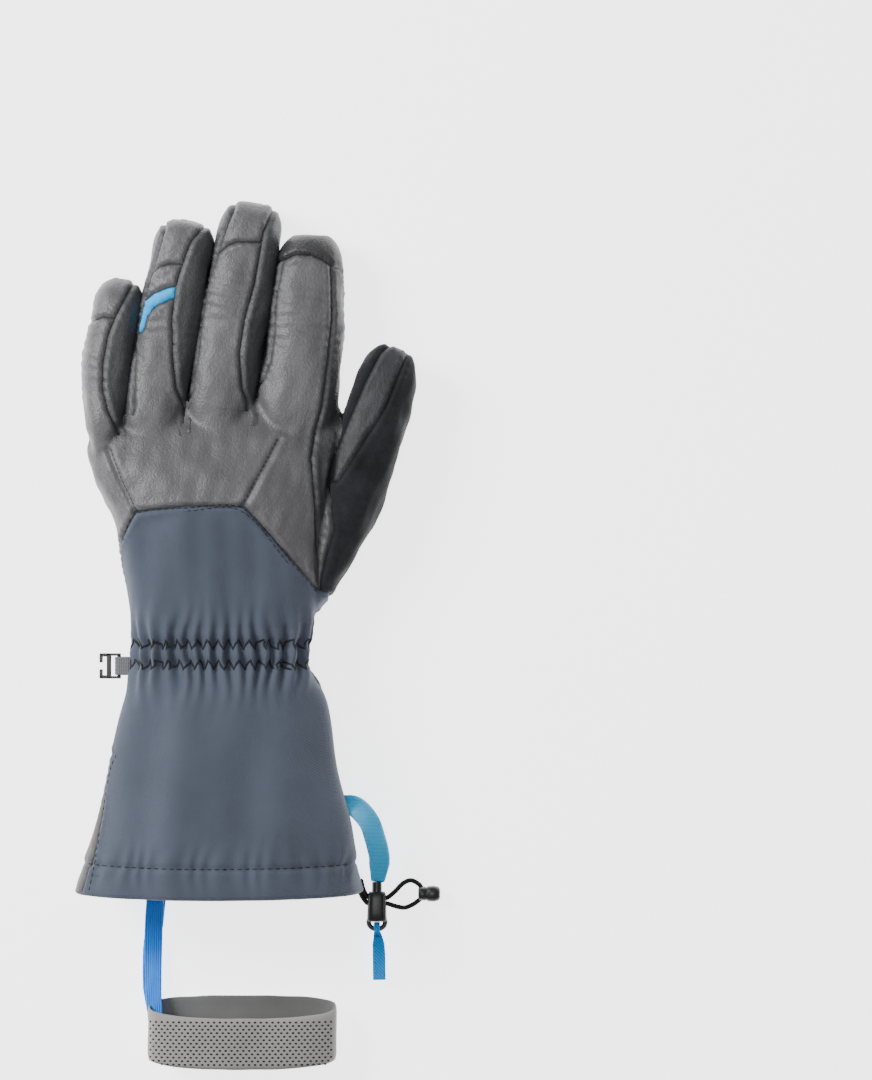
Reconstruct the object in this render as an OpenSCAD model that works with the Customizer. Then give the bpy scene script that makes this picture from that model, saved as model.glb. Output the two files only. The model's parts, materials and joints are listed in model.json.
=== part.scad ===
// Insulated gauntlet ski glove for the left hand, lying palm down.
// X runs across the hand to the thumb, Y runs to the fingertips, Z is up.
// The origin is on the palm patch, on the surface that the glove lies on.

/* [Gauntlet] */
// Length from the wrist line to the hem
gauntlet_length = 120; // [110:1:130]
// Half width of the wrist
wrist_half_width = 44.5; // [43:0.5:46]
// Half width of the hem
hem_half_width = 71; // [69:0.5:73]
// Half height of the wrist
wrist_half_height = 21; // [20:0.5:22]
// Half height of the hem opening
hem_half_height = 31; // [29:0.5:33]

/* [Materials] */
// Thickness of the leather and of the shell fabric
shell_wall = 1.6; // [1.2:0.1:2]
// Thickness of the insulation with its lining
liner_wall = 3.4; // [2.5:0.1:3.6]

/* [Joints] */
// Widest curl of a knuckle, in degrees
knuckle_curl = 60; // [40:1:60]
// Widest curl of a finger's middle joint, in degrees
middle_curl = 64; // [40:1:64]
// Widest bend of the thumb's middle joint, in degrees
thumb_curl = 30; // [20:1:40]
// Widest bend of the wrist each way, in degrees
wrist_bend = 32; // [20:1:32]

/* [Leash] */
// Width of the wrist leash band
band_width = 25; // [22:1:28]
// Length of the flattened leash band
band_length = 94; // [90:1:98]

/* [Hidden] */
GAP = 0.3;
WRIST_Y = -75;
HEM_Y = WRIST_Y - gauntlet_length;
WRIST_Z = wrist_half_height;
KNUCKLE_Z = 13;
MIDDLE_Z = 12;
THUMB_Z = 14;
PATCH_WALL = 1.2;
PALM_Z = PATCH_WALL + 0.2;
ARC = 12;

// One row a finger: name, knuckle, middle joint, tip, and half widths at the three
FINGERS = [
    ["little", [-58.5, 32], [-56.7, 68], [-49, 109.5], [7.8, 13, 12]],
    ["ring", [-33.5, 40], [-25, 90], [-16, 139.5], [14.6, 13.8, 13.2]],
    ["middle", [-2.5, 46], [6.5, 98], [16.4, 148], [14.4, 14.9, 14]],
    ["index", [36, 48], [42, 90], [44.2, 133.5], [20.4, 17.2, 15]]
];
THUMB = ["thumb", [65.5, 0], [75, 34], [86.8, 76], [15.2, 16, 14.6]];
FINGER_HALF_HEIGHTS = [16, 14.6, 12.6];

// Hand sections: distance along Y, middle, half width, half height
HAND = [
    [WRIST_Y, 0, wrist_half_width, 21],
    [-45, 1, 47, 22],
    [-15, -1.5, 49, 23],
    [8, -3, 50.5, 22],
    [20, -5, 54, 19.5]
];
// Distance along Y of the line behind each knuckle, from the little finger to the index
KNUCKLE_LINE = [[-68, 31], [-50, 31], [-48, 41], [-19, 37], [-17, 48], [12, 43], [16, 49], [58, 45]];
CUFF = [
    [WRIST_Y, 0, wrist_half_width, wrist_half_height],
    [-105, 1.5, 50, 23.5],
    [-135, 0.5, 57.5, 26.5],
    [-165, 0.5, 65, 29],
    [HEM_Y + 4, -0.5, hem_half_width - 0.5, hem_half_height]
];

function lerp(a, b, t) = a + (b - a) * t;
function smooth_power(v, p) = sign(v) * pow(abs(v), p);

// Point at angle t on a rounded section of half sizes w and h, in the section's own plane
function section_point(w, h, t) = [w * smooth_power(cos(t), 0.8), h * smooth_power(sin(t), 0.8)];

// An arc of a section: centre, heading away from +Y, half sizes, start and end angles
function arc(centre, heading, w, h, t0, t1, steps = ARC) = [
    for (i = [0:steps])
        let (p = section_point(w, h, lerp(t0, t1, i / steps)))
        [centre[0] + p[0] * cos(heading), centre[1] - p[0] * sin(heading), centre[2] + p[1]]
];

// Slides a point along a heading, away from a joint's axis, so that a bend finds room
function notched(p, heading, axis_z, low, high) =
    let (dz = p[2] - axis_z)
    let (shift = dz < 0 ? -dz * tan(low) : dz * tan(high))
    [p[0] + sin(heading) * shift, p[1] + cos(heading) * shift, p[2]];

function moved(points, heading, axis_z, low, high) =
    [for (p = points) notched(p, heading, axis_z, low, high)];

// Two triangles between four corners
function quad(a, b, c, d) = [[a, b, c], [a, c, d]];

// A strip of material between an outer and an inner list of arcs
module panel(outer, inner) {
    n = len(outer[0]);
    m = len(outer);
    total = n * m;
    points = [for (r = outer) each r, for (r = inner) each r];
    skin = [
        for (j = [0:m - 2], i = [0:n - 2])
            each quad(j * n + i, (j + 1) * n + i, (j + 1) * n + i + 1, j * n + i + 1)
    ];
    lining = [
        for (j = [0:m - 2], i = [0:n - 2])
            let (k = total + j * n + i)
            each quad(k, k + 1, k + n + 1, k + n)
    ];
    edges = [
        for (j = [0:m - 2])
            let (a = j * n, b = (j + 1) * n)
            each concat(
                quad(a, total + a, total + b, b),
                quad(a + n - 1, b + n - 1, total + b + n - 1, total + a + n - 1)
            )
    ];
    last = (m - 1) * n;
    ends = [
        for (i = [0:n - 2])
            each concat(
                quad(i, i + 1, total + i + 1, total + i),
                quad(last + i, total + last + i, total + last + i + 1, last + i + 1)
            )
    ];
    polyhedron(points, concat(skin, lining, edges, ends), convexity = 6);
}

// A sleeve of material between an outer and an inner list of closed rings
module sleeve(outer, inner) {
    n = len(outer[0]);
    m = len(outer);
    total = n * m;
    points = [for (r = outer) each r, for (r = inner) each r];
    walls = [
        for (j = [0:m - 2], i = [0:n - 1])
            let (k = (i + 1) % n)
            each concat(
                quad(j * n + i, (j + 1) * n + i, (j + 1) * n + k, j * n + k),
                quad(total + j * n + i, total + j * n + k, total + (j + 1) * n + k, total + (j + 1) * n + i)
            )
    ];
    last = (m - 1) * n;
    ends = [
        for (i = [0:n - 1])
            let (k = (i + 1) % n)
            each concat(
                quad(i, k, total + k, total + i),
                quad(last + i, total + last + i, total + last + k, last + k)
            )
    ];
    polyhedron(points, concat(walls, ends), convexity = 6);
}

// A closed solid through a list of closed rings
module solid_loft(rings) {
    n = len(rings[0]);
    m = len(rings);
    sides = [
        for (j = [0:m - 2], i = [0:n - 1])
            let (k = (i + 1) % n)
            each quad(j * n + i, (j + 1) * n + i, (j + 1) * n + k, j * n + k)
    ];
    caps = [[for (i = [0:n - 1]) i], [for (i = [n - 1:-1:0]) (m - 1) * n + i]];
    polyhedron([for (r = rings) each r], concat(sides, caps), convexity = 6);
}

// Closed ring of a section, without a doubled point
function ring(centre, heading, w, h, steps = 16) = [
    for (i = [0:steps - 1])
        let (p = section_point(w, h, 360 * (steps - i) / steps))
        [centre[0] + p[0] * cos(heading), centre[1] - p[0] * sin(heading), centre[2] + p[1]]
];

function heading_of(a, b) = atan2(b[0] - a[0], b[1] - a[1]);

// Stations of a finger part: fraction of its length and scale of its section
PROXIMAL_STATIONS = [[0, 1], [0.5, 1], [1, 1]];
DISTAL_STATIONS = [[0, 1], [0.45, 1], [0.8, 0.97], [0.93, 0.84], [0.985, 0.6], [1, 0.25]];

// Rings of one part of a finger, thinned by an inset; part 0 is next to the hand
function finger_rings(f, part, inset, steps, t0, t1, closed) =
    let (a = f[1 + part], b = f[2 + part])
    let (prox = heading_of(f[1], f[2]), dist = heading_of(f[2], f[3]))
    let (bend = (prox + dist) / 2)
    let (from = part == 0 ? prox : bend, to = part == 0 ? bend : dist)
    let (low = part == 0 ? KNUCKLE_Z : MIDDLE_Z)
    let (half_curl = (part == 0 ? knuckle_curl : middle_curl) / 2 + 1)
    let (clear = [sin(from), cos(from)] * GAP)
    let (tip_cut = part == 0 ? 0 : inset)
    [for (s = part == 0 ? PROXIMAL_STATIONS : DISTAL_STATIONS)
        let (t = s[0] * (1 - tip_cut / 46))
        let (w = lerp(f[4][part], f[4][part + 1], s[0]) * s[1] - inset * s[1])
        let (h = lerp(FINGER_HALF_HEIGHTS[part], FINGER_HALF_HEIGHTS[part + 1], s[0]) * s[1] - inset * s[1])
        let (mid_h = lerp(FINGER_HALF_HEIGHTS[part], FINGER_HALF_HEIGHTS[part + 1], s[0]) + 0.3)
        let (end_low = part == 0 ? middle_curl / 2 + 1 : 0)
        let (centre = [lerp(a[0] + clear[0], b[0], t), lerp(a[1] + clear[1], b[1], t), mid_h])
        let (heading = lerp(from, to, t))
        let (raw = closed ? ring(centre, heading, w, h, steps)
                          : arc(centre, heading, w, h, t0, t1, steps))
        let (first = moved(raw, heading, low, half_curl * (1 - t), 0))
        moved(first, heading, MIDDLE_Z, -end_low * t, 0)
    ];

module finger_half(f, part, upper) {
    t0 = upper ? 178.5 : 358.5;
    t1 = upper ? 1.5 : 181.5;
    panel(
        finger_rings(f, part, 0, 8, t0, t1, false),
        finger_rings(f, part, shell_wall, 8, t0, t1, false)
    );
}

module finger_back(f, part) {
    color(part == 0 ? "#4b4c50" : "#47484c") finger_half(f, part, true);
}

module finger_palm(f, part) {
    color("#5a5d64") finger_half(f, part, false);
}

module finger_liner(f, part) {
    color("#30343a")
        sleeve(
            finger_rings(f, part, shell_wall + GAP, 14, 0, 0, true),
            finger_rings(f, part, shell_wall + GAP + liner_wall, 14, 0, 0, true)
        );
}

// Hand rings: the last one follows the line of the knuckles
function hand_row(y) = [for (i = [1:3]) lookup(y, [for (r = HAND) [r[0], r[i]]])];
// Line behind the knuckles at x; a layer inside keeps behind its neighbours within a reach
function knuckle_y(x, reach = 0) = min([for (d = [-reach, 0, reach]) lookup(x + d, KNUCKLE_LINE)]);
HAND_STATIONS = [-74.7, -60, -46, -43, -40, -37, -20, -8, 4, 7, 10, 13, 16];
KNUCKLE_STATION = [-5.5, 61.5, 17];
LAYER_SETBACK = 3;
LAYER_REACH = 7;

function hand_rings(inset, steps, arcs, closed) =
    concat(
        [for (i = [0:len(HAND_STATIONS) - 1])
            let (y = HAND_STATIONS[i])
            let (row = hand_row(y))
            let (mid_x = lerp(row[0], -9, max(0, y + 8) / 34))
            let (w = row[1] + max(0, y + 8) / 24 * 6)
            let (span = arcs == undef ? [0, 0] : arcs[i])
            let (centre = [mid_x, y, row[2] + PALM_Z])
            let (raw = closed ? ring(centre, 0, w - inset, row[2] - inset, steps)
                              : arc(centre, 0, w - inset, row[2] - inset, span[0], span[1], steps))
            moved(raw, 0, WRIST_Z, i == 0 ? wrist_bend / 2 + 1 : 0, i == 0 ? wrist_bend / 2 + 1 : 0)
        ],
        [let (k = KNUCKLE_STATION)
            let (span = arcs == undef ? [0, 0] : arcs[len(HAND_STATIONS)])
            let (centre = [k[0], 0, k[2] + PALM_Z])
            let (raw = closed ? ring(centre, 0, k[1] - inset, k[2] - inset, steps)
                              : arc(centre, 0, k[1] - inset, k[2] - inset, span[0], span[1], steps))
            [for (p = raw)
                let (dz = p[2] - KNUCKLE_Z)
                let (inner = inset > shell_wall)
                let (setback = GAP + 1.2 + (inner ? LAYER_SETBACK : 0))
                let (notch = dz < 0 ? -dz * tan(knuckle_curl / 2 + 1) : 0)
                [p[0], knuckle_y(p[0], inner ? LAYER_REACH : 0) - setback - notch, p[2]]]
        ]
    );

// How far the thumb hole is open at a distance along Y, from 0 to 1
function thumb_hole(y) = lookup(y, [[-46, 0], [-37, 1], [4, 1], [16, 0]]);

// Start and end angles of the back and of the palm; they part around the thumb hole
HOLE = [for (y = HAND_STATIONS) thumb_hole(y)];
BACK_SPANS = [for (open = concat(HOLE, [0])) [178.5, 1.5 + 31.5 * open]];
PALM_SPANS = [for (open = concat(HOLE, [0])) [358.5 - 46.5 * open, 181.5]];

module hand_part(spans) {
    panel(hand_rings(0, 26, spans, false), hand_rings(shell_wall, 26, spans, false));
}

module back_hand() {
    color("#4b4c50")
        intersection() {
            hand_part(BACK_SPANS);
            translate([-100, -2.8, -10]) cube([200, 100, 100]);
        }
}

module back_panel() {
    color("#545d6a")
        intersection() {
            hand_part(BACK_SPANS);
            translate([-100, -103, -10]) cube([200, 100, 100]);
        }
}

module palm_leather() {
    color("#5a5d64") hand_part(PALM_SPANS);
}

// Reinforcement sewn over the palm: a flat patch that the glove rests on
PATCH_OUTLINE = [
    [-24, -35], [-6, -14], [6, -4], [12, 22], [34, 29], [36, 38],
    [-50, 28], [-52, 16], [-40, 4], [-48, -14], [-44, -34]
];

module palm_patch() {
    color("#2d2826")
        linear_extrude(PATCH_WALL)
            polygon(PATCH_OUTLINE);
}

module hand_insulation() {
    color("#5c6066")
        sleeve(
            hand_rings(shell_wall + 1.5, 26, undef, true),
            hand_rings(shell_wall + liner_wall, 26, undef, true)
        );
}

module hand_lining() {
    color("#26292e")
        sleeve(
            hand_rings(shell_wall + liner_wall + GAP, 26, undef, true),
            hand_rings(shell_wall + liner_wall + 1.5, 26, undef, true)
        );
}

// Thumb: its root lies along the side of the hand and is open towards it
THUMB_ROOT = [[-42, 54.2, 4, 11], [-28, 58.5, 8.4, 14], [-12, 62.8, 12.6, 15.5], [4, 66.6, 15.6, 15.8]];

function thumb_rings(inset, t0, t1, closed) =
    let (h = heading_of(THUMB[1], THUMB[2]))
    concat(
        [for (r = THUMB_ROOT)
            let (shut = r[0] < 0 ? 1 : 0)
            let (s0 = t0 > 90 && t0 < 270 ? t0 - 48 * shut : t0)
            let (s1 = t1 > 90 && t1 < 270 ? t1 + 48 * shut : t1)
            closed ? ring([r[1], r[0], 17.5], 0, r[2] - inset, r[3] - inset, 14)
                   : arc([r[1], r[0], 17.5], 0, r[2] - inset, r[3] - inset, s0, s1, 8)
        ],
        [for (s = [[0.5, 1], [1, 1]])
            let (c = [lerp(66.6, THUMB[2][0], s[0]), lerp(4, THUMB[2][1], s[0]), 17.5])
            let (raw = closed ? ring(c, h * s[0], 15.8 - inset, 15 - inset, 14)
                              : arc(c, h * s[0], 15.8 - inset, 15 - inset, t0, t1, 8))
            moved(raw, h, THUMB_Z, s[0] == 1 ? -thumb_curl / 2 - 1 : 0, 0)
        ]
    );

function thumb_tip_rings(inset, t0, t1, closed) =
    let (h = heading_of(THUMB[2], THUMB[3]))
    [for (s = DISTAL_STATIONS)
        let (t = s[0] * (1 - inset / 46))
        let (c = [lerp(THUMB[2][0], THUMB[3][0], t), lerp(THUMB[2][1] + GAP, THUMB[3][1], t), 17.5])
        let (w = lerp(15.8, 14, s[0]) * s[1] - inset * s[1])
        let (v = lerp(15, 12.6, s[0]) * s[1] - inset * s[1])
        let (raw = closed ? ring(c, h, w, v, 14) : arc(c, h, w, v, t0, t1, 8))
        moved(raw, h, THUMB_Z, (thumb_curl / 2 + 1) * (1 - t), 0)
    ];

module thumb_back() {
    color("#43474f") panel(thumb_rings(0, 178.5, 1.5, false), thumb_rings(shell_wall, 178.5, 1.5, false));
}

module thumb_palm() {
    color("#4a4e56") panel(thumb_rings(0, 358.5, 181.5, false), thumb_rings(shell_wall, 358.5, 181.5, false));
}

module thumb_tip_back() {
    color("#43474f")
        panel(thumb_tip_rings(0, 178.5, 1.5, false), thumb_tip_rings(shell_wall, 178.5, 1.5, false));
}

module thumb_tip_palm() {
    color("#4a4e56")
        panel(thumb_tip_rings(0, 358.5, 181.5, false), thumb_tip_rings(shell_wall, 358.5, 181.5, false));
}

module thumb_liner() {
    deep = shell_wall + GAP;
    color("#30343a")
        intersection() {
            sleeve(
                [for (i = [3:5]) thumb_rings(deep, 0, 0, true)[i]],
                [for (i = [3:5]) thumb_rings(deep + liner_wall, 0, 0, true)[i]]
            );
            translate([50, -60, -10]) cube([100, 200, 60]);
        }
}

module thumb_tip_liner() {
    deep = shell_wall + GAP;
    color("#30343a")
        sleeve(thumb_tip_rings(deep, 0, 0, true), thumb_tip_rings(deep + liner_wall, 0, 0, true));
}

// Gauntlet
function cuff_row(y) = [for (i = [1:3]) lookup(-y, [for (r = CUFF) [-r[0], r[i]]])];
CUFF_STATIONS = [HEM_Y + 4, -170, -145, -125, -110, -95, WRIST_Y - 0.3];

function cuff_rings(inset, steps, spans, closed) = [
    for (i = [0:len(CUFF_STATIONS) - 1])
        let (y = CUFF_STATIONS[i])
        let (row = cuff_row(y))
        let (span = spans == undef ? [0, 0] : spans[i])
        let (raw = closed ? ring([row[0], y, row[2]], 0, row[1] - inset, row[2] - inset, steps)
                          : arc([row[0], y, row[2]], 0, row[1] - inset, row[2] - inset,
                                span[0], span[1], steps))
        let (bend = i == len(CUFF_STATIONS) - 1 ? -wrist_bend / 2 - 1 : 0)
        moved(raw, 0, WRIST_Z, bend, bend)
];

// The fabric stops short on the little finger's side, where the gusset is let in
GUSSET_ANGLES = [32, 26, 18, 8, 1.5, 1.5, 1.5];
CUFF_TOP_SPANS = [for (a = GUSSET_ANGLES) [180 - a, 1.5]];
CUFF_UNDER_SPANS = [for (a = GUSSET_ANGLES) [358.5, 180 + a]];
GUSSET_SPANS = [for (i = [0:3]) [180 + GUSSET_ANGLES[i] - 1.2, 180 - GUSSET_ANGLES[i] + 1.2]];

module gauntlet_top() {
    color("#545d6a")
        panel(
            cuff_rings(0, 16, CUFF_TOP_SPANS, false),
            cuff_rings(shell_wall, 16, CUFF_TOP_SPANS, false)
        );
}

module gauntlet_under() {
    color("#545d6a")
        panel(
            cuff_rings(0, 16, CUFF_UNDER_SPANS, false),
            cuff_rings(shell_wall, 16, CUFF_UNDER_SPANS, false)
        );
}

module side_gusset() {
    color("#6f6d6b")
        panel(
            [for (i = [0:3]) cuff_gusset_arc(i, 0)],
            [for (i = [0:3]) cuff_gusset_arc(i, shell_wall)]
        );
}

function cuff_gusset_arc(i, inset) =
    let (row = cuff_row(CUFF_STATIONS[i]), span = GUSSET_SPANS[i])
    arc([row[0], CUFF_STATIONS[i], row[2]], 0, row[1] - inset, row[2] - inset, span[0], span[1], 6);

module gauntlet_insulation() {
    color("#5c6066")
        sleeve(
            cuff_rings(shell_wall + GAP, 26, undef, true),
            cuff_rings(shell_wall + 2, 26, undef, true)
        );
}

module gauntlet_lining() {
    color("#26292e")
        sleeve(
            cuff_rings(shell_wall + 2.2, 26, undef, true),
            cuff_rings(shell_wall + 3.2, 26, undef, true)
        );
}

module cuff_hem() {
    row = cuff_row(HEM_Y + 4);
    outer = [for (y = [HEM_Y, HEM_Y + 3.8]) ring([row[0], y, row[2]], 0, row[1], row[2], 32)];
    inner = [for (y = [HEM_Y, HEM_Y + 3.8]) ring([row[0], y, row[2]], 0, row[1] - 4, row[2] - 4, 32)];
    color("#545d6a") sleeve(outer, inner);
}

// Elastic that gathers the wrist, sewn inside the neck of the gauntlet
function elastic_ring(y, inset) =
    let (row = cuff_row(y))
    ring([row[0], y, row[2]], 0, row[1] - inset, row[2] - inset, 26);

module wrist_elastic() {
    stations = [-96, -88];
    color("#2b2d31")
        sleeve([for (y = stations) elastic_ring(y, 6)], [for (y = stations) elastic_ring(y, 7.2)]);
}

// Tape across the ring finger and the cap on the index finger's tip
module ring_tape() {
    f = FINGERS[1];
    rings = [for (t = [0.62, 0.74]) let (c = [lerp(f[1][0], f[2][0], t), lerp(f[1][1], f[2][1], t), 15.4])
        [c, heading_of(f[1], f[2])]];
    color("#2b93ea")
        panel(
            [for (r = rings) arc(r[0], r[1], 14.9, 16.3, 172, 8, 8)],
            [for (r = rings) arc(r[0], r[1], 14.2, 15.5, 172, 8, 8)]
        );
}

module index_tip_cap() {
    f = FINGERS[3];
    head = heading_of(f[2], f[3]);
    stations = [[0.7, 15.9, 13.9], [0.86, 15.2, 13.2], [0.97, 11.4, 10.2], [1.015, 5, 4.4]];
    centre = function (t) [lerp(f[2][0], f[3][0], t), lerp(f[2][1], f[3][1], t), 13.7];
    color("#1d1e20")
        panel(
            [for (s = stations) arc(centre(s[0]), head, s[1] + 1.7, s[2] + 1.9, 172, 8, 8)],
            [for (s = stations) arc(centre(s[0] - 0.012), head, s[1] + 1, s[2] + 1.1, 172, 8, 8)]
        );
}

// Small hook clip that turns on a webbing loop at the side of the wrist
CLIP_BAR = [-50.8, -82.5, 21];
BAR_RADIUS = 0.9;

module clip_webbing() {
    loop_radius = 2;
    color("#6d7076")
        translate(CLIP_BAR) difference() {
            union() {
                translate([0, -4.7, -loop_radius]) cube([4.5, 9.4, 2 * loop_radius]);
                translate([0, -4.7, 0]) rotate([-90, 0, 0]) cylinder(r = loop_radius, h = 9.4, $fn = 24);
            }
            translate([0, -6, 0]) rotate([-90, 0, 0]) cylinder(r = 1.3, h = 12, $fn = 24);
        }
}

module hook_clip() {
    color("#17181a")
        translate(CLIP_BAR) {
            translate([0, -6.3, 0]) rotate([-90, 0, 0]) cylinder(r = BAR_RADIUS, h = 12.6, $fn = 24);
            for (side = [-6.3, 5.1]) translate([-4, side, -1]) cube([4.6, 1.2, 2]);
            translate([-6, -6.3, -1]) cube([2.2, 12.6, 2]);
            for (side = [0, 1]) mirror([0, side, 0]) {
                translate([-8.4, -6.3, -1]) cube([2.6, 1.6, 2]);
                translate([-9.6, -6.3, -1]) cube([1.4, 4.8, 2]);
            }
        }
}

// A tube or a flat strip through hand-chosen points
function direction(path, i) =
    let (d = path[min(len(path) - 1, i + 1)] - path[max(0, i - 1)])
    d / norm(d);
function side_of(d) = cross(d, [0, 0, 1]) / norm(cross(d, [0, 0, 1]));

function tube_rings(path, r, sides) = [
    for (i = [0:len(path) - 1])
        let (d = direction(path, i), side = side_of(d), up = cross(side, d))
        [for (k = [0:sides - 1]) path[i] + side * r * cos(-360 * k / sides) + up * r * sin(-360 * k / sides)]
];

function strip_rings(path, half_widths, half_thickness) = [
    for (i = [0:len(path) - 1])
        let (d = direction(path, i), side = side_of(d), up = cross(side, d))
        [for (k = [[1, 1], [1, -1], [-1, -1], [-1, 1]])
            path[i] + side * half_widths[i] * k[0] + up * half_thickness * k[1]]
];

// Tether ribbon from the thumb's side of the gauntlet to the cord lock
RIBBON_PATH = [
    [66, -148, 34], [72, -153, 27], [77, -161, 19],
    [79, -172, 12], [78, -182, 7.5], [77, -189, 5.4]
];
HEM_CORD_PATH = [[70, -191, 9], [70.4, -195, 7.4], [71.2, -198, 5.4], [71.7, -200, 4.4]];
LOOP_OUT_PATH = [
    [82.4, -198.4, 4.4], [86, -195.5, 4.2], [90, -191.5, 3.4],
    [94, -190, 2.6], [98, -192, 2.4], [99.8, -194.6, 2.6]
];
LOOP_BACK_PATH = [
    [82.2, -201.5, 4.4], [87, -203, 4], [91, -203.6, 3],
    [95, -202, 2.4], [98, -199.9, 2.4], [99.6, -198.6, 2.6]
];
CORD_RADIUS = 1.2;

module tether_ribbon() {
    color("#2b93ea") solid_loft(strip_rings(RIBBON_PATH, [4.6, 4.6, 4.6, 4.6, 4.6, 2.4], 0.8));
}

module hem_cord() {
    color("#101113") solid_loft(tube_rings(HEM_CORD_PATH, CORD_RADIUS, 8));
}

module cord_loop() {
    color("#101113") {
        solid_loft(tube_rings(LOOP_OUT_PATH, CORD_RADIUS, 8));
        solid_loft(tube_rings(LOOP_BACK_PATH, CORD_RADIUS, 8));
    }
}

module cord_bead() {
    color("#101113")
        translate([100.8, -196.4, 4.6]) rotate([0, 90, 0]) union() {
            cylinder(r = 3.4, h = 4.2, $fn = 32);
            translate([0, 0, 4]) cylinder(r1 = 4.2, r2 = 2.6, h = 4, $fn = 32);
        }
}

// Cord lock: a sprung plunger in a bored body, with an eye for the pull tab
LOCK = [77, -200, 4.4];
BORE_RADIUS = 2.6;
CORD_HOLE_RADIUS = 1.4;
PLUNGER_TRAVEL = 1.6;
LOCK_LENGTH = 13;
BORE_FLOOR = -5.5;
EYE_Y = -11;

module cord_lock_body() {
    color("#141517")
        translate(LOCK) difference() {
            union() {
                translate([-4.5, -9, -4]) cube([9, LOCK_LENGTH, 8]);
                translate([0, -9, -1.5]) cylinder(r = 5.2, h = 3, $fn = 40);
            }
            translate([-8, 0, 0]) rotate([0, 90, 0]) cylinder(r = CORD_HOLE_RADIUS, h = 20, $fn = 24);
            translate([0, BORE_FLOOR, 0]) rotate([-90, 0, 0]) cylinder(r = BORE_RADIUS, h = 12, $fn = 32);
            translate([0, EYE_Y, -5]) cylinder(r = 1.9, h = 10, $fn = 24);
        }
}

module cord_lock_plunger() {
    length = 13;
    color("#1c1d20")
        translate(LOCK) difference() {
            translate([0, BORE_FLOOR + PLUNGER_TRAVEL + 0.2, 0]) rotate([-90, 0, 0])
                cylinder(r = BORE_RADIUS - 0.15, h = length, $fn = 32);
            translate([0, BORE_FLOOR, 0]) rotate([-90, 0, 0]) cylinder(r = 2.05, h = 4.4, $fn = 32);
            translate([-5, PLUNGER_TRAVEL, 0]) rotate([0, 90, 0])
                cylinder(r = CORD_HOLE_RADIUS, h = 10, $fn = 24);
        }
}

module cord_lock_spring() {
    color("silver")
        translate(LOCK + [0, BORE_FLOOR + 0.05, 0]) rotate([-90, 0, 0]) difference() {
            cylinder(r = 1.9, h = 2.5, $fn = 24);
            translate([0, 0, -1]) cylinder(r = 1.2, h = 8, $fn = 24);
        }
}

// Pull tab: its ring runs through the eye and turns about the rim
TAB_RING_Y = -13.4;
TAB_LENGTH = 24;

module pull_tab() {
    color("#1c84e0")
        translate(LOCK + [0, TAB_RING_Y, 0]) difference() {
            union() {
                rotate([0, 90, 0]) translate([0, 0, -1.2]) cylinder(r = 2.8, h = 2.4, $fn = 32);
                translate([-3.3, -2.4 - TAB_LENGTH, -0.7]) cube([6.6, TAB_LENGTH, 1.4]);
            }
            rotate([0, 90, 0]) translate([0, 0, -5]) cylinder(r = 2, h = 10, $fn = 32);
        }
}

// Leash: elastic webbing from inside the hem to a perforated wrist band
STRAP_PATH = [
    [-33.5, -187, 10.4], [-33.5, -198, 10.4], [-34.5, -210, 6.6], [-35, -226, 1.6],
    [-34.4, -240, 5.4], [-31.6, -250, 11], [-30.2, -260, 12.6]
];
BAND_X = 10;
BAND_TOP_Y = -257;
BAND_HALF_HEIGHT = 12;

function band_ring(y, inset, shear) = [
    for (p = ring([BAND_X, y, BAND_HALF_HEIGHT], 0, band_length / 2 - inset, BAND_HALF_HEIGHT - inset, 36))
        [p[0], p[1] + (2 * BAND_HALF_HEIGHT - p[2]) * shear, p[2]]
];

module leash_webbing() {
    color("#1873c8") solid_loft(strip_rings(STRAP_PATH, [4.6, 4.6, 4.6, 4.6, 4.6, 4, 3.2], 0.8));
}

module leash_band() {
    color("#8b8d8e")
        sleeve(
            [for (y = [BAND_TOP_Y - band_width, BAND_TOP_Y]) band_ring(y, 0, 0.4)],
            [for (y = [BAND_TOP_Y - band_width, BAND_TOP_Y]) band_ring(y, 1.8, 0.4)]
        );
}

NODES = [
    "little_back", "little_palm", "little_liner", "little_tip_back", "little_tip_palm", "little_tip_liner",
    "ring_back", "ring_palm", "ring_liner", "ring_tip_back", "ring_tip_palm", "ring_tip_liner",
    "middle_back", "middle_palm", "middle_liner", "middle_tip_back", "middle_tip_palm", "middle_tip_liner",
    "index_back", "index_palm", "index_liner", "index_tip_back", "index_tip_palm", "index_tip_liner",
    "thumb_back", "thumb_palm", "thumb_liner", "thumb_tip_back", "thumb_tip_palm", "thumb_tip_liner",
    "back_hand", "back_panel", "palm_leather", "palm_patch", "hand_insulation", "hand_lining",
    "gauntlet_top", "gauntlet_under", "side_gusset", "gauntlet_insulation", "gauntlet_lining",
    "cuff_hem", "wrist_elastic", "ring_tape", "index_tip_cap",
    "clip_webbing", "hook_clip", "tether_ribbon", "hem_cord", "cord_loop", "cord_bead",
    "cord_lock_body", "cord_lock_plunger", "cord_lock_spring", "pull_tab", "leash_webbing", "leash_band"
];
node = "all";

function shown(name) = node == "all" || node == name;

for (f = FINGERS) {
    if (shown(str(f[0], "_back"))) finger_back(f, 0);
    if (shown(str(f[0], "_palm"))) finger_palm(f, 0);
    if (shown(str(f[0], "_liner"))) finger_liner(f, 0);
    if (shown(str(f[0], "_tip_back"))) finger_back(f, 1);
    if (shown(str(f[0], "_tip_palm"))) finger_palm(f, 1);
    if (shown(str(f[0], "_tip_liner"))) finger_liner(f, 1);
}
if (shown("thumb_back")) thumb_back();
if (shown("thumb_palm")) thumb_palm();
if (shown("thumb_liner")) thumb_liner();
if (shown("thumb_tip_back")) thumb_tip_back();
if (shown("thumb_tip_palm")) thumb_tip_palm();
if (shown("thumb_tip_liner")) thumb_tip_liner();
if (shown("back_hand")) back_hand();
if (shown("back_panel")) back_panel();
if (shown("palm_leather")) palm_leather();
if (shown("palm_patch")) palm_patch();
if (shown("hand_insulation")) hand_insulation();
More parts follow.
